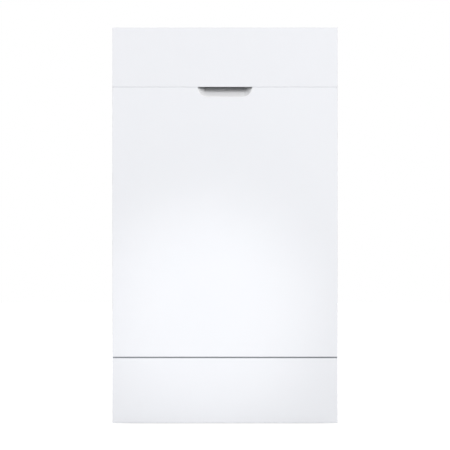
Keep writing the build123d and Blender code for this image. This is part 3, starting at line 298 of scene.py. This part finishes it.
# %% Hidden mouldings
grey_moulding = moulding("grey_moulding", (0.36, 0.38, 0.41), (0.42, 0.44, 0.47))
dark_moulding = moulding(
    "dark_moulding", (0.035, 0.037, 0.042), (0.06, 0.062, 0.068), grain_scale=1100.0, roughness=0.5)
light_moulding = moulding(
    "light_moulding", (0.55, 0.57, 0.60), (0.61, 0.63, 0.66), grain_scale=1900.0, roughness=0.38)
blue_moulding = moulding(
    "blue_moulding", (0.10, 0.22, 0.42), (0.13, 0.27, 0.48), grain_scale=1700.0, roughness=0.36)
key_moulding = moulding(
    "key_moulding", (0.24, 0.25, 0.27), (0.29, 0.30, 0.32),
    grain_scale=2300.0, roughness=0.30, depth=0.00002)
print("mouldings:", [each.name for each in bpy.data.materials if each.name.endswith("_moulding")])

# %% [markdown]
# Rack wire is dipped in nylon that runs a little before it sets. The tub's gasket is black rubber
# with a pale bloom. The blankets are pressed felt. Hair would give it real fibres at a great
# cost, and the blankets hardly show, so noise stretched into fibres and clumps lifts the surface
# instead.


# %% Nylon, rubber and felt
def nylon_coat():
    finish = Finish("nylon_coat", **{"Coat Weight": 0.2, "Coat Roughness": 0.25})
    flow = finish.noise(scale=240.0)
    finish.colour(flow, (0.42, 0.45, 0.50), (0.50, 0.53, 0.57))
    return finish.surface(flow, roughness=0.30, spread=0.12, depth=0.0001)


def black_rubber():
    finish = Finish("black_rubber")
    bloom = finish.noise(scale=130.0, detail=3.0)
    grain = finish.noise(scale=1900.0)
    finish.colour(bloom, (0.018, 0.018, 0.020), (0.045, 0.045, 0.047))
    return finish.surface(grain, roughness=0.62, spread=0.2, depth=0.00005)


def pressed_felt():
    finish = Finish("pressed_felt", **{"Sheen Weight": 0.4, "Sheen Roughness": 0.6})
    fibre = finish.noise(scale=1.0, detail=5.0, vector=finish.stretched((320.0, 320.0, 900.0)))
    clump = finish.noise(scale=85.0, detail=3.0)
    finish.colour(fibre * 0.5 + clump * 0.5, (0.11, 0.10, 0.095), (0.27, 0.255, 0.24))
    return finish.surface(fibre, roughness=0.86, spread=0.1, depth=0.0008, relief=fibre + clump)


nylon = nylon_coat()
rubber = black_rubber()
felt = pressed_felt()
print("soft finishes:", nylon.name, rubber.name, felt.name)

# %% [markdown]
# Three more finishes are small but seen close: the board's green lacquer over copper tracks, the
# smoked window and the mesh of the fine filter. Holes drilled by the thousand would be many faces
# for little to see. Voronoi cells draw the tracks along their edges, and the holes as dark discs.


# %% Board, window and filter mesh
TRACK_HALF = 0.06
HOLE_RADIUS = 0.36


def green_board():
    finish = Finish("green_board")
    from_edge = Number(finish, finish.cells(scale=230.0, feature="DISTANCE_TO_EDGE"))
    lacquer = from_edge > TRACK_HALF
    finish.colour(lacquer, (0.05, 0.20, 0.09), (0.02, 0.11, 0.05))
    return finish.surface(lacquer, roughness=0.30, spread=0.14, depth=0.00004)


def smoked_window():
    finish = Finish("smoked_window", **{"Coat Weight": 1.0, "Coat Roughness": 0.03})
    haze = finish.noise(scale=160.0)
    finish.colour(haze, (0.010, 0.010, 0.013), (0.020, 0.021, 0.025))
    return finish.surface(haze, roughness=0.10, spread=0.08, depth=0.00001)


def filter_mesh():
    finish = Finish("filter_mesh", Metallic=0.9)
    from_middle = Number(finish, finish.cells(scale=520.0))
    metal = from_middle > HOLE_RADIUS
    finish.colour(metal, (0.05, 0.05, 0.05), (0.60, 0.60, 0.60))
    return finish.surface(metal, roughness=0.52, spread=-0.2, depth=0.0003)


board_lacquer = green_board()
window_smoke = smoked_window()
fine_mesh = filter_mesh()
print("small finishes:", board_lacquer.name, window_smoke.name, fine_mesh.name)

# %% [markdown]
# Each solid takes one finish. It could be set piece by piece. A table keeps it in one place, with
# the finish first and then the solids that wear it, so that a reader sees which pieces belong
# together.

# %% Hand out the finishes
WEAR = [
    (enamel, "door_outer_panel plinth"),
    (band_white, "fascia"),
    (pocket_white, "handle_pocket"),
    (strip_white, "control_strip"),
    (tub_steel, "tub_wrap tub_rear_wall"),
    (door_steel, "door_inner_panel"),
    (zinc, "right_side_panel left_side_panel rear_panel top_panel front_crossrail"),
    (zinc, "counter_brackets hinge_brackets hinge_arms latch_strike rack_rails upper_runners"),
    (steel_wire, "hinge_pins door_springs"),
    (grey_moulding, "tub_floor sump coarse_filter spray_feed_pipe upper_feed_tube ceiling_sprayer"),
    (grey_moulding, "latch_housing latch_hook dispenser_body"),
    (grey_moulding, "wheels_front wheels_middle wheels_rear"),
    (light_moulding, "cutlery_basket lower_spray_arm upper_spray_arm dispenser_lid"),
    (dark_moulding, "base_tray foot_front_left foot_front_right foot_rear drain_pump drain_outlet"),
    (dark_moulding, "circulation_pump pump_impeller inlet_valve mains_inlet"),
    (blue_moulding, "rinse_aid_cap"),
    (key_moulding, "button_power button_program button_start"),
    (nylon, "lower_rack upper_rack"),
    (rubber, "tub_gasket"),
    (felt, "insulation_blanket door_insulation"),
    (board_lacquer, "control_board"),
    (window_smoke, "display_window"),
    (fine_mesh, "fine_filter"),
    (can_lacquer, "pump_motor"),
]
dressed = set()
for material, names in WEAR:
    for name in names.split():
        mesh = nodes[name].data
        mesh.materials.clear()
        mesh.materials.append(material)
        dressed.add(name)
print("dressed:", len(dressed), "bare:", sorted(set(nodes) - dressed))

# %% [markdown]
# Some shapes on this machine repeat: rack wires, tines, screw heads and the turns of a spring.
# Copies made by hand all have to be changed by hand. Geometry Nodes make them from a few points
# and lines, so that a size changes in one place. A recipe is such a tree with named inputs, and
# its make method hands back a plain mesh, because the moving model carries meshes and no
# modifiers.


# %% A recipe of geometry nodes
class Recipe(Tree):
    def __init__(self, name):
        self.tree = bpy.data.node_groups.new(name, "GeometryNodeTree")
        self.tree.interface.new_socket("Solid", in_out="OUTPUT", socket_type="NodeSocketGeometry")
        self.entry = self.node("NodeGroupInput")
        self.names = {}
        self.lines = self.take("Lines", "NodeSocketGeometry")
        self.finish = self.take("Finish", "NodeSocketMaterial")

    def take(self, name, kind="NodeSocketFloat"):
        socket = self.tree.interface.new_socket(name, in_out="INPUT", socket_type=kind)
        self.names[name] = socket.identifier
        return self.entry.outputs[name]

    def on_points(self, shape, scale=(1.0, 1.0, 1.0)):
        kind = {"data_type": "FLOAT_VECTOR"}
        facing = self.node("GeometryNodeInputNamedAttribute", kind, {"Name": "facing"})
        turn = self.node("FunctionNodeAlignRotationToVector", {"axis": "Z"}, {"Vector": facing})
        spots = {"Points": self.lines, "Instance": shape, "Rotation": turn, "Scale": scale}
        return self.node("GeometryNodeInstanceOnPoints", inputs=spots)

    def end(self, shape):
        solid = self.node("GeometryNodeRealizeInstances", inputs={"Geometry": shape})
        worn = {"Geometry": solid, "Material": self.finish}
        self.node("NodeGroupOutput", inputs={0: self.node("GeometryNodeSetMaterial", inputs=worn)})

    def make(self, name, lines, inputs):
        carrier = bpy.data.objects.new(name, lines.mesh(name))
        bpy.context.scene.collection.objects.link(carrier)
        modifier = carrier.modifiers.new(name, "NODES")
        modifier.node_group = self.tree
        for key, value in inputs.items():
            modifier[self.names[key]] = value
        ready = carrier.evaluated_get(bpy.context.evaluated_depsgraph_get())
        solid = bpy.data.meshes.new_from_object(ready)
        carrier.modifiers.clear()
        carrier.data = solid
        print(name, "faces:", len(solid.polygons))
        return carrier


# %% [markdown]
# A recipe needs something to start from. Wires start from runs of points, and heads and coils
# from single points that know which way they face. Empties could mark those places, but a mesh of
# bare points and edges goes straight into the tree, so a small class gathers them and hands the
# mesh over.


# %% Points and lines
class Lines:
    def __init__(self):
        self.points = []
        self.links = []
        self.facing = []

    def run(self, points, closed=False):
        first = len(self.points)
        last = first + len(points) - 1
        self.points += points
        self.links += [(index, index + 1) for index in range(first, last)]
        if closed:
            self.links.append((last, first))

    def spots(self, points, facing):
        self.points += points
        self.facing += [facing] * len(points)
        return self

    def mesh(self, name):
        made = bpy.data.meshes.new(name)
        made.from_pydata(self.points, self.links, [])
        if self.facing:
            facing = made.attributes.new("facing", "FLOAT_VECTOR", "POINT")
            facing.data.foreach_set("vector", [part for way in self.facing for part in way])
        return made


# %% [markdown]
# A dish rack is bent from nylon-coated wire. A curve with a bevel could draw one wire. Here a
# tree rounds the corners of every run at once, sweeps a circle along it and puts a ball on each
# end, so that all wires share one thickness and one bend.

# %% Wires along lines
BEND_STEPS = 5
BALL_LEVEL = 2

wires = Recipe("coated_wires")
radius = wires.take("Wire radius")
bend = wires.take("Bend radius")
sides = wires.take("Sides", "NodeSocketInt")
route = wires.node("GeometryNodeMeshToCurve", inputs={"Mesh": wires.lines})
corners = {"Curve": route, "Count": BEND_STEPS, "Radius": bend, "Limit Radius": True}
route = wires.node("GeometryNodeFilletCurve", {"mode": "POLY"}, corners)
circle_sizes = {"Resolution": sides, "Radius": radius}
circle = wires.node("GeometryNodeCurvePrimitiveCircle", inputs=circle_sizes)
rod_inputs = {"Curve": route, "Profile Curve": circle, "Fill Caps": True}
rod = wires.node("GeometryNodeCurveToMesh", inputs=rod_inputs)
ball_sizes = {"Radius": radius, "Subdivisions": BALL_LEVEL}
ball = wires.node("GeometryNodeMeshIcoSphere", inputs=ball_sizes)
ends = wires.node("GeometryNodeCurveEndpointSelection")
tip_inputs = {"Points": route, "Selection": ends, "Instance": ball}
tips = wires.node("GeometryNodeInstanceOnPoints", inputs=tip_inputs)
rod_and_tips = {"Geometry": [rod.outputs[0], tips.outputs[0]]}
joined = wires.node("GeometryNodeJoinGeometry", inputs=rod_and_tips)
wires.end(wires.node("GeometryNodeSetShadeSmooth", inputs={"Geometry": joined}))
print("wire recipe takes:", list(wires.names))

# %% [markdown]
# Each wire of a rack runs up one side, bends, crosses the floor and goes up the other side. Three
# rounded rings hold these together, and the tines stand on the floor. The numbers are those of
# the solids: wires of 3.6 mm, seven along and eight across. An Array modifier could repeat one
# wire at even steps, but a list of runs also holds the rings and the tines.

# %% Lines of a rack
WIRE = 0.0036
POST_INSET = 1.5 * WIRE
RACK_HALF = 0.176
WIRES_ALONG = 7
ALONG_INSET = 0.020
WIRES_ACROSS = 8
ACROSS_INSET = 0.022
LOW_RING = 0.008
MIDDLE_RING = 0.55
FIRST_TINE = 0.057
rack_low, rack_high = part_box("upper_rack")
rack_front, rack_back = rack_low.y, rack_high.y


def spread(first, last, count):
    return [first + (last - first) * step / (count - 1) for step in range(count)]


def rack_lines(floor, height, tine, tine_columns, tine_rows, rear_gap):
    post = RACK_HALF - POST_INSET
    front, back = rack_front + POST_INSET, rack_back - POST_INSET
    deck, rim = floor + WIRE, floor + height
    columns = spread(-post + ALONG_INSET, post - ALONG_INSET, WIRES_ALONG)
    lines = Lines()
    for y in spread(front + ACROSS_INSET, back - ACROSS_INSET, WIRES_ACROSS):
        lines.run([(-post, y, rim), (-post, y, floor), (post, y, floor), (post, y, rim)])
    for x in columns:
        lines.run([(x, front, rim), (x, front, deck), (x, back, deck), (x, back, rim)])
    for z in (floor + POST_INSET + LOW_RING, floor + height * MIDDLE_RING, rim):
        x, near, far = post + WIRE, front - WIRE, back + WIRE
        lines.run([(-x, near, z), (x, near, z), (x, far, z), (-x, far, z)], closed=True)
    for x in [columns[number] for number in tine_columns]:
        for y in spread(rack_front + FIRST_TINE, rack_back - rear_gap, tine_rows):
            lines.run([(x, y, deck), (x, y, floor + tine)])
    return lines


print("rack from", round(rack_front, 4), "to", round(rack_back, 4))

# %% [markdown]
# The two racks share that plan and differ in height and tines: tall tines for plates below, short
# ones between glasses above. The solids have eight-sided wires, and smooth shading could hide
# that. Round wires with bends look right from close by too, so each rack becomes one piece that
# takes the place of its solid.

# %% Two racks
LOWER_FLOOR = 0.232
UPPER_FLOOR = 0.5118
wire_sizes = {"Wire radius": WIRE / 2, "Bend radius": 0.009, "Sides": 12, "Finish": nylon}
lower_lines = rack_lines(
    LOWER_FLOOR, height=0.104, tine=0.074, tine_columns=(0, 2, 4), tine_rows=9, rear_gap=0.044)
upper_lines = rack_lines(
    UPPER_FLOOR, height=0.112, tine=0.046, tine_columns=(1, 3, 5), tine_rows=7, rear_gap=0.054)
for rack, lines in (("lower_rack", lower_lines), ("upper_rack", upper_lines)):
    piece = wires.make(rack + "_wires", lines, wire_sizes)
    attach(piece, rack)
    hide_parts(rack)

# %% [markdown]
# The small mouldings of the racks and the door are outlines pushed along one axis, with their
# sharp edges rounded off as a mould would leave them. A cube with a Bevel modifier makes a plain
# block. These have corners and hooks, so a few functions draw the outline, push it and round it.


# %% Outlines, pushed and rounded
ARC_STEP = 18
SHARP_EDGE = math.radians(50)


def arc_corners(y0, y1, z0, z1, r):
    corners = [
        (y1 - r, z1 - r, 0), (y0 + r, z1 - r, 90), (y0 + r, z0 + r, 180), (y1 - r, z0 + r, 270)]
    points = []
    for y, z, start in corners:
        for step in range(0, 91, ARC_STEP):
            angle = math.radians(start + step)
            points.append((y + r * math.cos(angle), z + r * math.sin(angle)))
    return points


def disc(y, z, r, count=28):
    angles = [2 * math.pi * index / count for index in range(count)]
    return [(y + r * math.cos(angle), z + r * math.sin(angle)) for angle in angles]


def push(shape, near, far):
    layers = [[shape.verts.new(point) for point in layer] for layer in (near, far)]
    count = len(near)
    for index in range(count):
        follow = (index + 1) % count
        wall = (layers[0][index], layers[0][follow], layers[1][follow], layers[1][index])
        shape.faces.new(wall)
    for layer in layers:
        shape.faces.new(layer)


def push_sideways(shape, outline, start, end):
    push(shape, *[[(x, y, z) for y, z in outline] for x in (start, end)])


def mould(name, shape, round_off, material):
    bmesh.ops.recalc_face_normals(shape, faces=shape.faces)
    sharp = [edge for edge in shape.edges if edge.calc_face_angle() > SHARP_EDGE]
    bmesh.ops.bevel(
        shape, geom=sharp, offset=round_off, segments=2, affect="EDGES", clamp_overlap=True)
    mesh = bpy.data.meshes.new(name)
    shape.to_mesh(mesh)
    shape.free()
    mesh.materials.append(material)
    piece = bpy.data.objects.new(name, mesh)
    bpy.context.scene.collection.objects.link(piece)
    print(name, "faces:", len(mesh.polygons))
    return piece


# %% [markdown]
# The wheels of the lower rack turn on stub axles. Each axle stands on a moulded plate that clips
# to the rack's side, and ends in a cap that keeps the wheel on. The places could be typed in.
# They come from each wheel's own box instead, so that the clips follow when the wheels move.

# %% Wheel clips
PLATE_HALF = 0.009
PLATE_CORNER = 0.004
PLATE_RISE = 0.020
WHEEL_ROOM = 0.0084
AXLE = 0.004
AXLE_ROOT = 0.001
AXLE_END = 0.0004
CAP_RIM = 0.0015
CAP_FROM, CAP_TO = 0.0003, 0.002

clips = bmesh.new()
for wheel_row in ("wheels_front", "wheels_middle", "wheels_rear"):
    low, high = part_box(wheel_row)
    y, z = (low.y + high.y) / 2, (low.z + high.z) / 2
    inner, outer = high.x - WHEEL_ROOM, high.x
    plate = arc_corners(
        y - PLATE_HALF, y + PLATE_HALF, z - PLATE_HALF, LOWER_FLOOR + PLATE_RISE, PLATE_CORNER)
    pushes = [
        (plate, RACK_HALF, inner),
        (disc(y, z, AXLE), inner - AXLE_ROOT, outer + AXLE_END),
        (disc(y, z, AXLE + CAP_RIM), outer + CAP_FROM, outer + CAP_TO),
    ]
    for side in (-1, 1):
        for outline, start, end in pushes:
            push_sideways(clips, outline, side * start, side * end)
clip_piece = mould("lower_rack_clips", clips, round_off=0.0005, material=grey_moulding)
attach(clip_piece, "lower_rack")
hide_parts("lower_rack")

# %% [markdown]
# Shoes on the upper rack hook round its runners. One shoe is a channel whose two hooks hold the
# bar. A Mirror modifier could make its upper half and the other side. The outline has only twelve
# points, so its lower half is typed and turned over in the list, and the sides are a loop.

# %% Runner shoes
BAR_SPACE = 0.0046
BAR_HALF = 0.0143
SHOE_WALL = 0.004
HOOK_WALL = 0.002
HOOK_REACH = 0.008
SHOE_HALF = 0.020
FRONT_SHOE, REAR_SHOE = 0.042, 0.064

rail_low, rail_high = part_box("upper_runners")
rail_z = (rail_low.z + rail_high.z) / 2
hook_x = rack_high.x
hook_inside = hook_x - HOOK_WALL
bar_x = hook_x - BAR_SPACE
lower_half = [
    (RACK_HALF, -BAR_HALF - SHOE_WALL), (hook_x, -BAR_HALF - SHOE_WALL), (hook_x, -HOOK_REACH),
    (hook_inside, -HOOK_REACH), (hook_inside, -BAR_HALF), (bar_x, -BAR_HALF),
]
channel_outline = lower_half + [(x, -z) for x, z in reversed(lower_half)]
shoes = bmesh.new()
for shoe_y in (rack_front + FRONT_SHOE, rack_back - REAR_SHOE):
    for side in (-1, 1):
        both_ends = (shoe_y - SHOE_HALF, shoe_y + SHOE_HALF)
        push(shoes, *[[(side * x, y, rail_z + z) for x, z in channel_outline] for y in both_ends])
shoe_piece = mould("upper_rack_shoes", shoes, round_off=0.0004, material=grey_moulding)
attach(shoe_piece, "upper_rack")
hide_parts("upper_rack")

# %% [markdown]
# The joint over the plinth is one dark line from side to side, so nothing shines through it. A
# lip under the door's foot can shut off the base like that. It hangs behind the plinth and a
# little lower than the plinth's upper edge. It turns with the door, backwards and up, and passes
# over the base tray on its way. A dark line painted on the plinth would stay behind when the door
# opens.

# %% Lip under the door
LIP_BACK = 0.004
LIP_THICK = 0.002
LIP_DROP = 0.004
LIP_CORNER = 0.0004
LIP_END_GAP = 0.0004

lip_y, lip_z = door_low.y + LIP_BACK, door_low.z
lip_outline = arc_corners(lip_y, lip_y + LIP_THICK, lip_z - LIP_DROP, lip_z, LIP_CORNER)
lip = bmesh.new()
push_sideways(lip, lip_outline, door_low.x + LIP_END_GAP, door_high.x - LIP_END_GAP)
lip_piece = mould("door_foot_lip", lip, round_off=0.0002, material=grey_moulding)
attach(lip_piece, "door")

# %% [markdown]
# Sheet-metal screws hold the panels. A round dot in the relief would pass from afar. Seen from
# the side a head stands up, so one head is modelled in the tree at unit size, a cone with a cross
# cut out of it, and placed on points. Each point carries the way it faces, and the head turns to
# it.

# %% Screw heads on points
SLOT_DEPTH = 0.7
SLOT_WIDTH = 0.2
SLOT_RISE = 0.9

screws = Recipe("panel_screws")
head_radius = screws.take("Head radius")
head_height = screws.take("Head height")
cone_sizes = {"Vertices": 20, "Radius Top": 0.72, "Radius Bottom": 1.0, "Depth": 1.0}
head = screws.node("GeometryNodeMeshCone", inputs=cone_sizes)
cross = []
for size in ((1.0, SLOT_WIDTH, SLOT_DEPTH), (SLOT_WIDTH, 1.0, SLOT_DEPTH)):
    bar = screws.node("GeometryNodeMeshCube", inputs={"Size": size})
    lift = {"Geometry": bar, "Translation": (0.0, 0.0, SLOT_RISE)}
    cross.append(screws.node("GeometryNodeTransform", inputs=lift).outputs[0])
cut = {"operation": "DIFFERENCE", "solver": "MANIFOLD"}
crossed = screws.node("GeometryNodeMeshBoolean", cut, {"Mesh 1": head, "Mesh 2": cross})
head_scale = {"X": head_radius, "Y": head_radius, "Z": head_height}
scale = screws.node("ShaderNodeCombineXYZ", inputs=head_scale)
screws.end(screws.on_points(crossed, scale))
print("screw recipe takes:", list(screws.names))

# %% [markdown]
# The side panels leave under a millimetre inside the width of the door, so their heads are flat.
# The top has more room, and on the back the heads sit in the pressed channels. Heads could be set
# by eye. Rows worked out from each panel's box follow the edges of the panel.

# %% Places of the screws
HEAD_SINK = 0.0008
BACK_SINK = 0.0006
REAR_FLANGE = 0.014
FRONT_FLANGE = 0.062
TOP_FLANGE = 0.012
DOOR_SCREW_X = 0.2135

side_low, side_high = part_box("right_side_panel")
top_low, top_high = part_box("top_panel")
back_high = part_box("rear_panel")[1]
inner_door_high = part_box("door_inner_panel")[1]
rear_rows, front_rows = spread(0.16, 0.75, 5), (0.215, 0.46, 0.74)
side_places = [(side_high.y - REAR_FLANGE, z) for z in rear_rows]
side_places += [(side_low.y + FRONT_FLANGE, z) for z in front_rows]
front_columns, rear_columns = (-0.165, -0.055, 0.055, 0.165), (-0.19, -0.07, 0.07, 0.19)
top_places = [(x, top_low.y + TOP_FLANGE) for x in front_columns]
top_places += [(x, top_high.y - REAR_FLANGE) for x in rear_columns]
channel_x = back_high.x * 2 / 3
back_rows, door_rows = (0.23, 0.72), spread(0.24, 0.72, 4)
back_places = [(x, z) for x in (-channel_x, 0.0, channel_x) for z in back_rows]
door_places = [(x, z) for x in (-DOOR_SCREW_X, DOOR_SCREW_X) for z in door_rows]
print("screws:", 2 * len(side_places) + len(top_places) + len(back_places) + len(door_places))

# %% [markdown]
# Each panel's heads become one piece on the body that carries them. All heads could be one piece,
# but then those of the door would stay behind when it opens. The heads are of one width and, from
# panel to panel, of different heights.

# %% Screws by panel
HEAD_RADIUS = 0.0042
side_x = side_high.x - HEAD_SINK
right_spots = [(side_x, y, z) for y, z in side_places]
left_spots = [(-side_x, y, z) for y, z in side_places]
top_spots = [(x, y, top_high.z - HEAD_SINK) for x, y in top_places]
back_spots = [(x, back_high.y - BACK_SINK, z) for x, z in back_places]
door_spots = [(x, inner_door_high.y, z) for x, z in door_places]
panels = [
    ("right_screws", "cabinet", (1, 0, 0), right_spots, 0.0009),
    ("left_screws", "cabinet", (-1, 0, 0), left_spots, 0.0009),
    ("top_screws", "cabinet", (0, 0, 1), top_spots, 0.0022),
    ("back_screws", "cabinet", (0, 1, 0), back_spots, 0.0006),
    ("door_screws", "door", (0, 1, 0), door_spots, 0.0012),
]
for name, body, facing, places, height in panels:
    sizes = {"Head radius": HEAD_RADIUS, "Head height": height, "Finish": steel_wire}
    piece = screws.make(name, Lines().spots(places, facing), sizes)
    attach(piece, body)

# %% [markdown]
# Two tension springs beside the tub balance the door through cords. A Screw modifier could turn a
# ring into a coil. A tree keeps its sizes as named inputs: it draws a spiral, sweeps a small
# circle along it and sets the whole coil on a point.

# %% Coils on points
TURN_STEPS = 16
WIRE_SIDES = 8

coils = Recipe("tension_coils")
coil_radius = coils.take("Coil radius")
coil_wire = coils.take("Wire radius")
coil_turns = coils.take("Turns")
coil_length = coils.take("Length")
spiral_sizes = {"Resolution": TURN_STEPS, "Rotations": coil_turns, "Height": coil_length}
spiral_sizes.update({"Start Radius": coil_radius, "End Radius": coil_radius})
spiral = coils.node("GeometryNodeCurveSpiral", inputs=spiral_sizes)
ring_sizes = {"Resolution": WIRE_SIDES, "Radius": coil_wire}
ring = coils.node("GeometryNodeCurvePrimitiveCircle", inputs=ring_sizes)
sweep = {"Curve": spiral, "Profile Curve": ring, "Fill Caps": True}
coil = coils.node("GeometryNodeCurveToMesh", inputs=sweep)
placed = {"Geometry": coils.on_points(coil)}
coils.end(coils.node("GeometryNodeSetShadeSmooth", inputs=placed))
print("coil recipe takes:", list(coils.names))

# %% [markdown]
# The coils take the place of the plain sleeves in the solids, and their sizes come from the
# sleeves' box. A cord leads from each coil forward to the hinge and a hook holds it at the rear.
# They could be curves of their own. Both are wires with one bend, so the recipe from the racks
# makes them.

# %% Counterbalance springs
SPRING_FRONT = -0.058
SPRING_LENGTH = 0.186
SPRING_WIRE = 0.001
SPRING_TURNS = 58.0
CORD_RADIUS = 0.0011
CORD_END = 0.0012

spring_low, spring_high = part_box("door_springs")
spring_z = (spring_low.z + spring_high.z) / 2
spring_radius = (spring_high.z - spring_low.z) / 2
spring_x = spring_high.x - spring_radius
rim_z = spring_z + spring_radius - SPRING_WIRE
coil_front = SPRING_FRONT + SPRING_WIRE
coil_back = SPRING_FRONT + SPRING_LENGTH - SPRING_WIRE
coil_sizes = {"Coil radius": spring_radius - SPRING_WIRE, "Wire radius": SPRING_WIRE}
coil_sizes.update({"Turns": SPRING_TURNS, "Length": coil_back - coil_front, "Finish": steel_wire})
spring_places = [(x, coil_front, spring_z) for x in (-spring_x, spring_x)]
spring_spots = Lines().spots(spring_places, facing=(0, 1, 0))
coil_piece = coils.make("door_spring_coils", spring_spots, coil_sizes)

cords = Lines()
hooks = Lines()
cord_front, hook_back = spring_low.y + CORD_END, spring_high.y - CORD_END
for x in (-spring_x, spring_x):
    cords.run([(x, cord_front, spring_z), (x, coil_front, spring_z), (x, coil_front, rim_z)])
    hooks.run([(x, coil_back, rim_z), (x, coil_back, spring_z), (x, hook_back, spring_z)])
cord_sizes = {"Wire radius": CORD_RADIUS, "Bend radius": 0.002, "Sides": 10}
cord_piece = wires.make("door_spring_cords", cords, {**cord_sizes, "Finish": dark_moulding})
hook_piece = wires.make("door_spring_hooks", hooks, {**cord_sizes, "Finish": steel_wire})
for piece in (coil_piece, cord_piece, hook_piece):
    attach(piece, "cabinet")
    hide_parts("door_springs")

# %% [markdown]
# The photograph is taken square on, from so far away that no side shows. An orthographic camera
# would show the feet under the plinth, and the photograph shows none. A long lens six metres off,
# at the middle of the front, shows neither. The focal length follows from that distance and from
# the width that fills the frame, and a third of a pixel of rise lines up the seams.

# %% Camera
FRAME_WIDTH = 0.8948
SENSOR = 36.0
DISTANCE = 6.0
EYE_RISE = 0.0006

front_y = door_low.y
eye_z = (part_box("plinth")[0].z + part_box("fascia")[1].z) / 2 + EYE_RISE
camera_data = bpy.data.cameras.new("camera")
camera_data.sensor_width = SENSOR
camera_data.lens = SENSOR * DISTANCE / FRAME_WIDTH
camera = bpy.data.objects.new("camera", camera_data)
camera.location = (0.0, front_y - DISTANCE, eye_z)
camera.rotation_euler = (math.radians(90), 0.0, 0.0)
bpy.context.scene.collection.objects.link(camera)
bpy.context.scene.camera = camera
print("lens:", round(camera_data.lens, 1), "eye height:", round(eye_z, 4))

# %% [markdown]
# A white product on white paper needs light from all round, and then a little shape. A tall soft
# key stands in front, above the camera and to its right, and a spot makes the pool of light low
# on the door that fades towards the plinth's foot. Two fills behind brighten the sides. One large
# lamp would light the front evenly, and the photograph is brighter low on the door.


# %% Lights
def set_light(data, place, aim):
    light = bpy.data.objects.new(data.name, data)
    light.location = place
    light.rotation_euler = (Vector(aim) - Vector(place)).to_track_quat("-Z", "Y").to_euler()
    light.visible_camera = False
    light.visible_glossy = False
    bpy.context.scene.collection.objects.link(light)
    print(data.name, "watts:", data.energy)


def soft_light(name, place, aim, size, watts):
    data = bpy.data.lights.new(name, "AREA")
    data.shape = "RECTANGLE"
    data.size, data.size_y = size
    data.energy = watts
    set_light(data, place, aim)


def pool_of_light(name, place, aim, degrees, watts):
    data = bpy.data.lights.new(name, "SPOT")
    data.spot_size = math.radians(degrees)
    data.spot_blend = 1.0
    data.shadow_soft_size = 0.05
    data.energy = watts
    set_light(data, place, aim)


KEY_AIM = (0.0, front_y, 0.5)
FILL_AIM = (0.0, 0.0, 0.4)
POOL_AIM = (-0.04, front_y, 0.216)
FILL_SIZE = (2.0, 2.0)
soft_light("key", (1.1, -6.0, 2.8), aim=KEY_AIM, size=(4.2, 3.9), watts=287.0)
soft_light("left_fill", (-4.0, 2.0, 2.5), aim=FILL_AIM, size=FILL_SIZE, watts=140.0)
soft_light("right_fill", (4.0, 2.5, 2.5), aim=FILL_AIM, size=FILL_SIZE, watts=100.0)
pool_of_light("door_pool", (-0.1, -3.6, 0.45), aim=POOL_AIM, degrees=10.0, watts=62.0)

# %% [markdown]
# The sky and the paper look pure white in the picture. If they also shone as white on the
# machine, its shape would drown. The Light Path node tells a ray from the camera from all others,
# so the camera sees white, and the machine is lit by something greyer. The view transform is
# Standard, so that white stays white.

# %% Sky and paper
WHITE = (1.0, 1.0, 1.0, 1.0)
PAPER_GREY = (0.45, 0.45, 0.45, 1.0)
PAPER_HALF = 9.0


def white_sky(seen, felt):
    world = bpy.data.worlds.new("studio")
    world.use_nodes = True
    sky = Tree()
    sky.tree = world.node_tree
    sky.tree.nodes.clear()
    shades = []
    for strength in (felt, seen):
        inputs = {"Color": WHITE, "Strength": strength}
        shades.append(sky.node("ShaderNodeBackground", inputs=inputs))
    path = sky.node("ShaderNodeLightPath").outputs["Is Camera Ray"]
    choice = sky.node("ShaderNodeMixShader", inputs={0: path, 1: shades[0], 2: shades[1]})
    sky.node("ShaderNodeOutputWorld", inputs={"Surface": choice})
    bpy.context.scene.world = world


def white_paper(glow):
    constants = {"Emission Color": WHITE, "Emission Strength": glow, "Roughness": 0.9}
    finish = Finish("white_paper", **constants)
    fibre = finish.noise(scale=40.0)
    finish.colour(fibre, (0.30, 0.30, 0.30), (0.34, 0.34, 0.34))
    felt = finish.node("ShaderNodeBsdfDiffuse", inputs={"Color": PAPER_GREY})
    path = finish.node("ShaderNodeLightPath").outputs["Is Camera Ray"]
    choice = finish.node("ShaderNodeMixShader", inputs={0: path, 1: felt, 2: finish.shader})
    finish.feed(finish.output.inputs["Surface"], choice)
    return finish.material


white_sky(seen=1.0, felt=0.40)
bpy.context.scene.view_settings.view_transform = "Standard"
paper_mesh = bpy.data.meshes.new("paper")
paper_turns = [(-1, -1), (1, -1), (1, 1), (-1, 1)]
paper_corners = [(x * PAPER_HALF, y * PAPER_HALF, 0.0) for x, y in paper_turns]
paper_mesh.from_pydata(paper_corners, [], [(0, 1, 2, 3)])
paper_mesh.materials.append(white_paper(glow=0.95))
paper = bpy.data.objects.new("paper", paper_mesh)
bpy.context.scene.collection.objects.link(paper)
print("paper:", 2 * PAPER_HALF, "m wide, sky:", bpy.context.scene.world.name)
